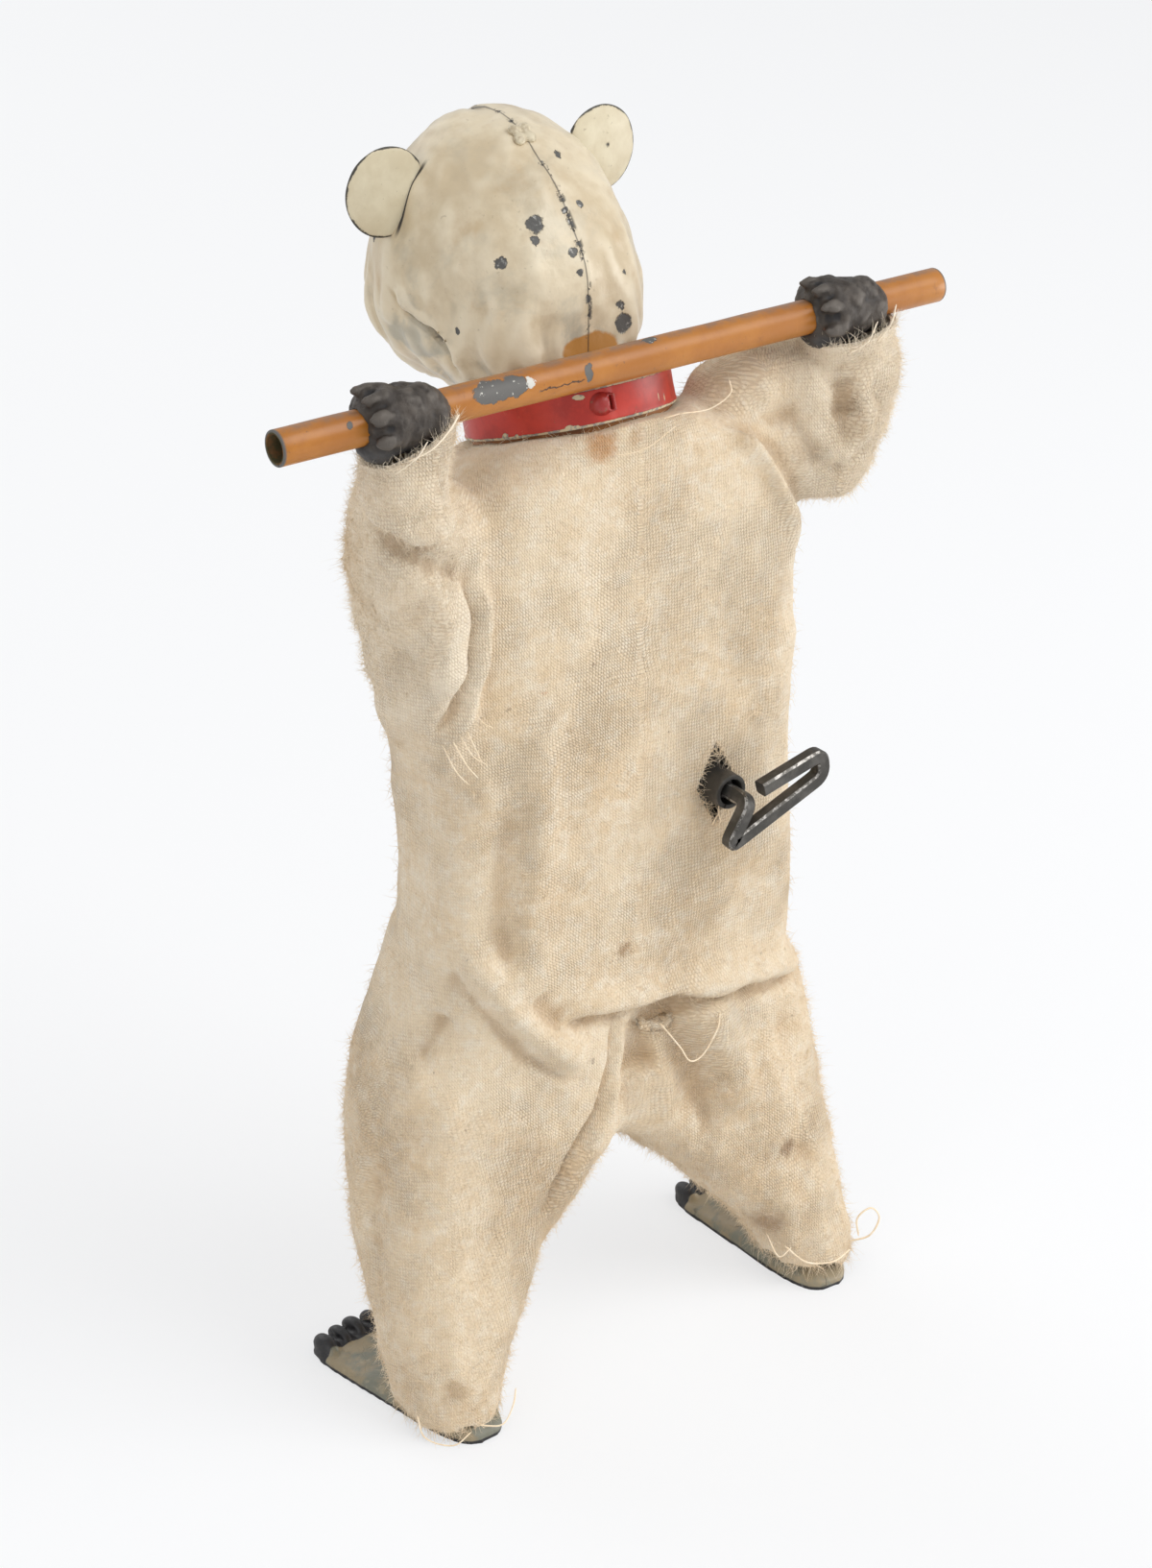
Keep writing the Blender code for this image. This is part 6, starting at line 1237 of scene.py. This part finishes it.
pole_place = Matrix.Translation(Vector((-57.5, POLE_Y, POLE_Z))
                                * MM) @ Matrix.Rotation(math.radians(90), 4, "Y")
pole_place = pole_place @ Matrix.Rotation(math.radians(22), 4, "Z")
pole_shape = rolled_tube(2.6, 0.6, 117.0, 4.5, 44, 60, pole_place)
for vert in pole_shape.verts:
    dent = noise.noise(Vector((vert.co.x / (9 * MM), vert.co.y / (6 * MM), vert.co.z / (6 * MM))))
    axis_point = Vector((vert.co.x, POLE_Y * MM, POLE_Z * MM))
    vert.co += (vert.co - axis_point).normalized() * 0.07 * dent * MM
ochre = Finish("pole_paint", Specular_IOR_Level=0.5)
sheen, grime, fleck = ochre.noise(0.009, 5.0,
                                  0.6), ochre.noise(0.0032, 5.0, 0.7), ochre.noise(0.0007, 3.0, 0.6)
ochre_here = ochre.colour((0.39, 0.138, 0.016)).mix((0.45, 0.17, 0.022), sheen.between(0.42, 0.62))
ochre_here = ochre_here.mix((0.27, 0.092, 0.018), grime.between(0.58, 0.74) * 0.6)
upper = ochre.place.axis("Z").between(0.1683, 0.1694) * ochre.place.axis("Y").between(0.0262, 0.0248)
ochre_here = ochre_here.mix((0.23, 0.135, 0.085), upper * grime.between(0.36, 0.62) * 0.8)
ochre_here = ochre_here.mix((0.20, 0.09, 0.03), fleck.between(0.68, 0.74) * 0.7)
from_axis = ochre.place.vector("SUBTRACT", ochre.place, (0, POLE_Y * MM, POLE_Z * MM))
from_axis = from_axis.vector("MULTIPLY", from_axis, (0, 1, 1))
inside = from_axis.vector("LENGTH", from_axis).out("Value").between(0.00232, 0.00218)
pole_x = ochre.place.axis("X")
ends = pole_x.between(0.0590, 0.0594).most(pole_x.between(-0.0570, -0.0574))
chip_places = (((25.4, 26.4, 168.2), 2.1, (0.62, 1, 1.25)), ((21.8, 26.5, 168.4), 1.7, (0.7, 1, 1)),
               ((9.3, 26.9, 167.6), 0.95, (1.25, 1, 0.75)), ((8.7, 26.7, 168.7), 0.45, (1.2, 1, 0.8)),
               ((-2.9, 24.8, 169.5), 0.9, (0.7, 1, 1)), ((48.9, 26.5, 168.5), 0.5, (1, 1, 1)))
first_chip, *more_chips = (ochre.spot([c * MM for c in centre], radius * MM, 0.0009, 0.0015, squeeze, 0.08)
                           for centre, radius, squeeze in chip_places)
pole_chips = first_chip.most(*more_chips)
flecks = ochre.spot((0.0192, 0.0266, 0.1683), 0.0008, 0.0007, 0.0009, (1, 1, 1), 0.1)
flecks = flecks.most(pole_chips * ochre.noise(0.0006, 3.0).between(0.64, 0.70))
crack_at = ochre.place.axis("Z") - POLE_Z * MM - (ochre.noise(0.0016, 4.0, 0.6) - 0.5) * 0.0022
crack = abs(crack_at).between(0.00016, 0.00004) * ochre.place.axis("Y").between(0.026, 0.0265)
crack = crack * pole_x.between(0.0098, 0.0106) * pole_x.between(0.0182, 0.0174)
bare_here = pole_chips.most(ends)
ochre_here = ochre_here.mix((0.13, 0.124, 0.115), bare_here)
ochre_here = ochre_here.mix((0.62, 0.60, 0.54), flecks)
ochre_here = ochre_here.mix((0.07, 0.035, 0.02), crack)
rust_inside = ochre.mottled((0.075, 0.060, 0.022), (0.16, 0.075, 0.022), 0.002, 4.0, 0.7, 0.45, 0.6)
ochre_here = ochre_here.mix(rust_inside, inside)
ochre.set(Base_Color=ochre_here, Roughness=0.30 + bare_here * 0.22 + inside * 0.3 + grime * 0.12,
          Metallic=bare_here * 0.25, Normal=ochre.bump((1.0 - pole_chips) * 0.9 + fleck * 0.12 + grime * 0.35
                                                       - crack * 0.8, 0.00014))
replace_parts(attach(finished("balance_pole", pole_shape, ochre.material), "arms"), "pole")

# Paws: hollow castings of dark metal closed round the pole, lumpy and pitted, with four claws over their
# outer ends
gunmetal = Finish("paw_metal", Specular_IOR_Level=0.5)


def cast(x, y, z):
    """Lumps and pits of the rough casting."""
    lumps = 0.30 * noise.noise(Vector((x / 2.6, y / 2.6 + 4, z / 2.6)))
    lumps += 0.17 * noise.noise(Vector((x / 1.1, y / 1.1, z / 1.1)))
    return lumps - 0.34 * max(0.0, noise.noise(Vector((x / 0.8 + 9, y / 0.8, z / 0.8))) - 0.25)


for name, side, node in (("paw_cast_left", 1, "paw_left"), ("paw_cast_right", -1, "paw_right")):
    hand = Vector((PAW_X * side, POLE_Y, POLE_Z))
    paw_shape = bmesh.new()
    for *middle, across, deep, tall in (
            (0.6, 0.1, -0.1, 6.4, 4.9, 4.9), (-3.6, 0.3, -0.4, 3.5, 4.2, 4.2), (1.4, 2.2, 1.9, 4.0, 2.8, 3.1),
            (-1.8, 1.6, 2.4, 3.0, 2.5, 2.6), (4.0, 0.4, -2.6, 3.4, 3.7, 2.8), (3.4, -2.4, 0.6, 3.4, 2.6, 3.8),
            (3.0, 0.3, 0.3, 4.8, 5.0, 5.2)):
        ball(paw_shape, hand + Vector(middle), (across, deep, tall))
    for turn, root in ((-12, 3.4), (30, 3.9), (66, 3.6), (104, 3.3)):
        turn = math.radians(turn)
        for out, along, wide in ((3.7, 0.0, 1.7), (4.1, 1.1, 1.6), (4.4, 2.1, 1.35), (4.7, 2.9, 1.05),
                                 (4.9, 3.6, 0.75), (4.9, 4.2, 0.5)):
            point = hand + Vector((root + along - 0.6, out * math.cos(turn), out * math.sin(turn)))
            ball(paw_shape, point, (wide, wide, wide), fine=2)
    paw_skin = Skin(name + "_base", paw_shape, 0.00032, 3)
    for turn in (10, 48, 86):
        turn = math.radians(turn)
        groove = [tuple(hand + Vector((along, 5.2 * math.cos(turn), 5.2 * math.sin(turn))))
                  for along in (4.2, 5.6, 7.0)]
        paw_skin.crease(groove, 0.5, -0.3)
    paw_skin.lumps(cast)
    paw_mesh = paw_skin.keep()
    drop(paw_mesh, lambda c: off_pole(c) < 2.72)
    rim_edges = [e for e in paw_mesh.edges if len(e.link_faces) == 1]
    for vert in dict.fromkeys(v for e in rim_edges for v in e.verts):
        out = Vector((0, vert.co.y - POLE_Y * MM, vert.co.z - POLE_Z * MM))
        vert.co += out.normalized() * (2.68 * MM - out.length)
    bmesh.ops.bridge_loops(paw_mesh, edges=rim_edges)
    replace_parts(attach(finished(name, paw_mesh, gunmetal.material, 60), "arms"), node)
hollow_paw, grain_paw = gunmetal.attribute("hollow"), gunmetal.noise(0.0009, 5.0, 0.7)
paw_here = gunmetal.mottled((0.034, 0.026, 0.020), (0.064, 0.051, 0.040), 0.0035, 4.0, 0.55, 0.42, 0.64)
paw_here = paw_here.mix((0.018, 0.016, 0.016), hollow_paw.between(0.52, 0.66))
paw_here = paw_here.mix((0.15, 0.13, 0.11), hollow_paw.between(0.47, 0.36) * 0.5)
paw_here = paw_here.mix((0.16, 0.07, 0.045), gunmetal.noise(0.0018, 4.0, 0.7).between(0.66, 0.74) * 0.6)
# each paw darker and bluer below the height of the pole's axis: painted shade on its underside
paw_underside_shade = gunmetal.place.axis("Z").between(0.1652, 0.1636) * 0.6
gunmetal.set(Base_Color=paw_here.mix((0.030, 0.034, 0.040), paw_underside_shade), Metallic=0.15 + grain_paw * 0.15,
             Roughness=0.42 + grain_paw * 0.25,
             Normal=gunmetal.bump(grain_paw * 0.7 + gunmetal.noise(0.0003, 2.0) * 0.3, 0.00016))

# Feet: thin castings painted cream, with a flat sole, an upright boss for the leg wire and black painted toes
foot_paint = Finish("foot_paint", Specular_IOR_Level=0.45)
foot_rows = [(0.0, 1.7, 1.2, 0.7), (0.04, 3.7, 2.1, 0.9), (0.14, 5.2, 3.5, 0.9), (0.30, 6.2, 4.6, 0.9),
             (0.50, 6.9, 4.0, 0.9), (0.72, 7.8, 2.8, 0.9), (0.90, 8.3, 2.2, 0.9), (1.0, 7.7, 1.7, 0.8)]
for name, side, body, node in (("foot_cast_left", 1, "leg_left", "foot_left"),
                               ("foot_cast_right", -1, "leg_right", "foot_right")):
    foot_place = Matrix.Translation(Vector((36.6 * side, 11.5, 0))
                                    * MM) @ Matrix.Rotation(math.radians(4) * side, 4, "Z")
    foot_shape, foot_rings = bmesh.new(), []
    for share, half, rise, edge in smooth_rows(foot_rows, 3):
        y, ring = 25.2 - 38.2 * 0.94 * share, []
        for i in range(22):
            turn = math.pi * i / 21
            ring.append(foot_place
                        @ (Vector((half * math.cos(turn), y, edge + (rise - edge) * math.sin(turn) ** 0.8
                                   if 0 < i < 21 else edge)) * MM))
        ring += [foot_place @ (Vector((-half + 2 * half * i / 7, y, 0)) * MM) for i in range(8)]
        foot_rings.append([tuple(point) for point in ring])
    bag(foot_shape, foot_rings)
    for i in range(5):
        across, bow = (i / 4 - 0.5) * 12.8, abs(i / 4 - 0.5) * 2
        ball(foot_shape, (across, bow - 9.8, 1.8), (1.62, 2.9, 1.9), foot_place)
    bmesh.ops.create_cone(foot_shape, cap_ends=True, segments=24, radius1=3.6 * MM, radius2=2.9 * MM,
                          depth=7.4 * MM, matrix=foot_place @ Matrix.Translation(Vector((0, 14.2, 4.2)) * MM))
    bmesh.ops.recalc_face_normals(foot_shape, faces=foot_shape.faces)
    foot_skin = Skin(name + "_base", foot_shape, 0.00036, 3)
    for i in range(4):
        across = (i / 4 - 0.375) * 12.8
        groove = [tuple(foot_place @ (Vector((across, y, z)) * MM) / MM) for y,
                  z in ((-12.0, 1.4), (-10.4, 2.7), (-8.0, 3.2), (-5.6, 3.2))]
        foot_skin.crease(groove, 0.45, -0.9)

    def worn_foot(x, y, z):
        """Soft lumps of the casting, none on the sole."""
        return (0.16 * noise.noise(Vector((x / 3.5, y / 3.5, side * 5))) + 0.07
                * noise.noise(Vector((x / 1.2, y / 1.2, z)))) * (z > 0.4)

    foot_skin.lumps(worn_foot)
    foot_skin.points[:, 2] = np.where(foot_skin.points[:, 2] < 0.35, 0.0, foot_skin.points[:, 2])
    heel_way = foot_place.to_3x3() @ Vector((0, -1, 0))
    toe_share = (foot_skin.points
                 - np.array(foot_place @ (Vector((0, -6.6, 0)) * MM)) / MM) @ np.array(heel_way)
    foot_skin.mesh.attributes.new("toes", "FLOAT",
                                  "POINT").data.foreach_set("value", np.clip(toe_share / 1.2 + 0.5, 0, 1))
    foot_mesh = foot_skin.keep()
    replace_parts(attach(finished(name, foot_mesh, foot_paint.material, 60), body), node)
toes_here = (foot_paint.attribute("toes") + (foot_paint.noise(0.0016, 4.0, 0.7) - 0.5)
             * 0.5).between(0.42, 0.58)
blotch, drift = foot_paint.noise(0.0065, 5.0, 0.65), foot_paint.noise(0.004, 3.0).out("Color")
drift = drift.vector("MULTIPLY_ADD", drift, (0.003, 0.003, 0.003), foot_paint.place)
crackle = drift.node("ShaderNodeTexVoronoi", {"feature": "DISTANCE_TO_EDGE"}, Vector=drift,
                     Scale=1.0 / 0.0052)
crackle = crackle.between(0.035, 0.0)
foot_here = foot_paint.colour((0.315, 0.255, 0.16)).mix((0.20, 0.20, 0.155), blotch.between(0.44, 0.60))
foot_here = foot_here.mix((0.44, 0.375, 0.26), foot_paint.noise(0.003, 5.0, 0.7).between(0.58, 0.72) * 0.6)
foot_here = foot_here.mix((0.10, 0.08, 0.05), crackle * foot_paint.noise(0.008, 2.0).between(0.52, 0.62)
                          * 0.8)
# darker in the hollows of the casting: painted shade
foot_here = foot_here.mix((0.13, 0.10, 0.07), foot_paint.attribute("hollow").between(0.60, 0.85) * 0.5)
# black along the lowest 0.5 to 0.75 mm of each foot, where it stands on the floor: painted shadow; the toes
# are black paint
floor_line_shadow = foot_paint.place.axis("Z").between(0.00075, 0.0005)
toe_paint_and_floor_shadow = foot_paint.mottled((0.022, 0.021, 0.022), (0.13, 0.125, 0.12), 0.0012, 5.0, 0.75, 0.60, 0.72)
foot_here = foot_here.mix(toe_paint_and_floor_shadow, toes_here.most(floor_line_shadow))
foot_paint.set(Base_Color=foot_here, Roughness=0.34 + blotch * 0.15,
               Normal=foot_paint.bump(foot_paint.noise(0.0014, 4.0, 0.65) * 0.6 + blotch * 0.4 - crackle
                                      * 0.2, 0.00014))

# Key: square steel wire bent in a flat wing, pushed into a rolled sleeve on the winding arbor
black_steel = Finish("key_steel", Specular_IOR_Level=0.5)
pitted, stain = black_steel.noise(0.0006, 5.0, 0.75), black_steel.noise(0.0045, 4.0, 0.6)
steel_here = black_steel.colour((0.062, 0.058, 0.052)).mix((0.115, 0.108, 0.098), stain.between(0.42, 0.64))
steel_here = steel_here.mix((0.20, 0.10, 0.05), black_steel.noise(0.0024, 5.0, 0.7).between(0.66, 0.74) * 0.6)
black_steel.set(Base_Color=steel_here.mix((0.24, 0.23, 0.21), pitted.between(0.66, 0.74) * 0.4),
                Metallic=0.55 + stain * 0.2, Roughness=0.36 + pitted * 0.28,
                Normal=black_steel.bump(pitted * 0.6 + black_steel.noise(0.0018, 4.0) * 0.5, 0.00011))
bright_edge = Finish("key_edge_steel", Specular_IOR_Level=0.5)
rub = bright_edge.noise(0.0012, 5.0, 0.7)
bright_edge.set(Base_Color=bright_edge.colour((0.10, 0.093,
                                               0.083)).mix((0.42, 0.40, 0.37), rub.between(0.46, 0.60)),
                Metallic=0.75 + rub * 0.1, Roughness=0.30 + rub * 0.15,
                Normal=bright_edge.bump(bright_edge.noise(0.0005, 4.0), 0.00006))
knots = [Vector(k) for k in ((KEY_X, 29.6, KEY_Z), (KEY_X, 35.7, KEY_Z), (-10.8, 35.7, 90.2),
                             (-29.0, 35.7, 97.2), (-28.4, 35.7, 101.0), (-16.9, 35.7, 98.2))]
key_path, bends = [knots[0]], (1.7, 1.9, 1.9, 1.7)
for before, here, after, bend in zip(knots, knots[1:], knots[2:], bends):
    a, b = (here + (far - here).normalized() * min(bend, (far - here).length * 0.48)
            for far in (before, after))
    key_path += [a.lerp(here, t).lerp(here.lerp(b, t), t) for t in (i / 7 for i in range(8))]
key_path.append(knots[-1])
WIRE_HALF, CHAMFER, key_rings = 1.15, 0.28, []
wire_section = ((1, 0.72), (0.72, 1), (-0.72, 1), (-1, 0.72), (-1, -0.72), (-0.72, -1), (0.72, -1),
                (1, -0.72))
for i, point in enumerate(key_path):
    ahead = onward(key_path, i)
    if abs(ahead.y) < 0.02:
        flat = Vector((0, 1, 0))
    else:
        flat = (knots[2] - knots[1]).normalized().cross(Vector((0, 1, 0))).cross(ahead)
    flat = (flat - flat.dot(ahead) * ahead).normalized()
    across = ahead.cross(flat)
    key_rings.append([(point + (flat * u + across * v) * WIRE_HALF) * MM for u, v in wire_section])
key_shape = bmesh.new()
bag(key_shape, key_rings)
bmesh.ops.recalc_face_normals(key_shape, faces=key_shape.faces)
for f in key_shape.faces:
    chamfer_ends = sum(abs(e.calc_length() - CHAMFER * WIRE_HALF * math.sqrt(2) * MM) < 0.03 * MM
                       for e in f.edges)
    f.material_index = 1 if len(f.verts) == 4 and chamfer_ends >= 2 else 0
key_piece = finished("winding_key", key_shape, black_steel.material, 25)
key_piece.data.materials.append(bright_edge.material)
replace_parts(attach(key_piece, "winding"), "key")
sleeve_place = Matrix.Translation(Vector((KEY_X, 25.2, KEY_Z))
                                  * MM) @ Matrix.Rotation(math.radians(-90), 4, "X")
sleeve_place = sleeve_place @ Matrix.Rotation(math.radians(60), 4, "Z")
sleeve_shape = rolled_tube(2.8, 0.75, 6.3, 9.0, 40, 6, sleeve_place)
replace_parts(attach(finished("key_socket", sleeve_shape, black_steel.material), "winding"),
            "key_sleeve")


# Clockwork: pressed tin plates, turned steel arbors and pins, brass wheels and an iron flywheel, all in their
# own old metal. Only a glimpse of it shows through the key slit, the neck and the trouser hems.
def old_metal(name, base, deep, bright, grain, rough, metallic):
    """Bare metal that has gone dull: a base tone with deep and bright blotches, scratches and rust."""
    metal = Finish(name)
    cloud, scratch = metal.noise(grain, 5.0, 0.6), metal.noise(0.0009, 4.0, 0.6, stretch=(1, 1, 0.12))
    rust = metal.noise(0.0028, 5.0, 0.7)
    shade = metal.colour(base).mix(deep, cloud.between(0.40, 0.60))
    shade = shade.mix(bright, scratch.between(0.58, 0.74) * 0.6)
    spots = rust.between(0.64, 0.72)
    metal.set(Base_Color=shade.mix((0.13, 0.055, 0.022), spots * 0.8),
              Metallic=metallic * (1.0 - spots * 0.6), Roughness=rough + cloud * 0.2 + spots * 0.2,
              Normal=metal.bump(scratch * 0.4 + rust * 0.4, 0.00006))
    return metal.material


plate_tin = old_metal("plate_tin", (0.30, 0.29, 0.27), (0.17, 0.16, 0.145), (0.48, 0.47, 0.45), 0.007, 0.34,
                      0.85)
arbor_steel = old_metal("arbor_steel", (0.22, 0.215, 0.21), (0.12, 0.115, 0.11), (0.42, 0.41, 0.40), 0.004,
                        0.30, 0.9)
wheel_brass = old_metal("wheel_brass", (0.55, 0.37, 0.13), (0.36, 0.21, 0.07), (0.72, 0.54, 0.24), 0.005,
                        0.28, 0.95)
fly_iron = old_metal("flywheel_iron", (0.10, 0.10, 0.10), (0.06, 0.058, 0.055), (0.20, 0.20, 0.20), 0.004,
                     0.46, 0.7)
cup_paint = old_metal("cup_ochre", (0.38, 0.15, 0.04), (0.22, 0.085, 0.028), (0.50, 0.24, 0.08), 0.006, 0.45,
                      0.15)
plates = ("back_plate", "front_plate", "side_plate_left", "side_plate_right", "neck_bridge")
metals = dict.fromkeys(plates, plate_tin)
metals.update(great_wheel=wheel_brass, crown_wheel=wheel_brass, flywheel=fly_iron, neck_cup=cup_paint)
for node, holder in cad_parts.items():
    if not holder.hide_render:
        for slot_here in holder.material_slots:
            slot_here.material = metals.get(node, arbor_steel)
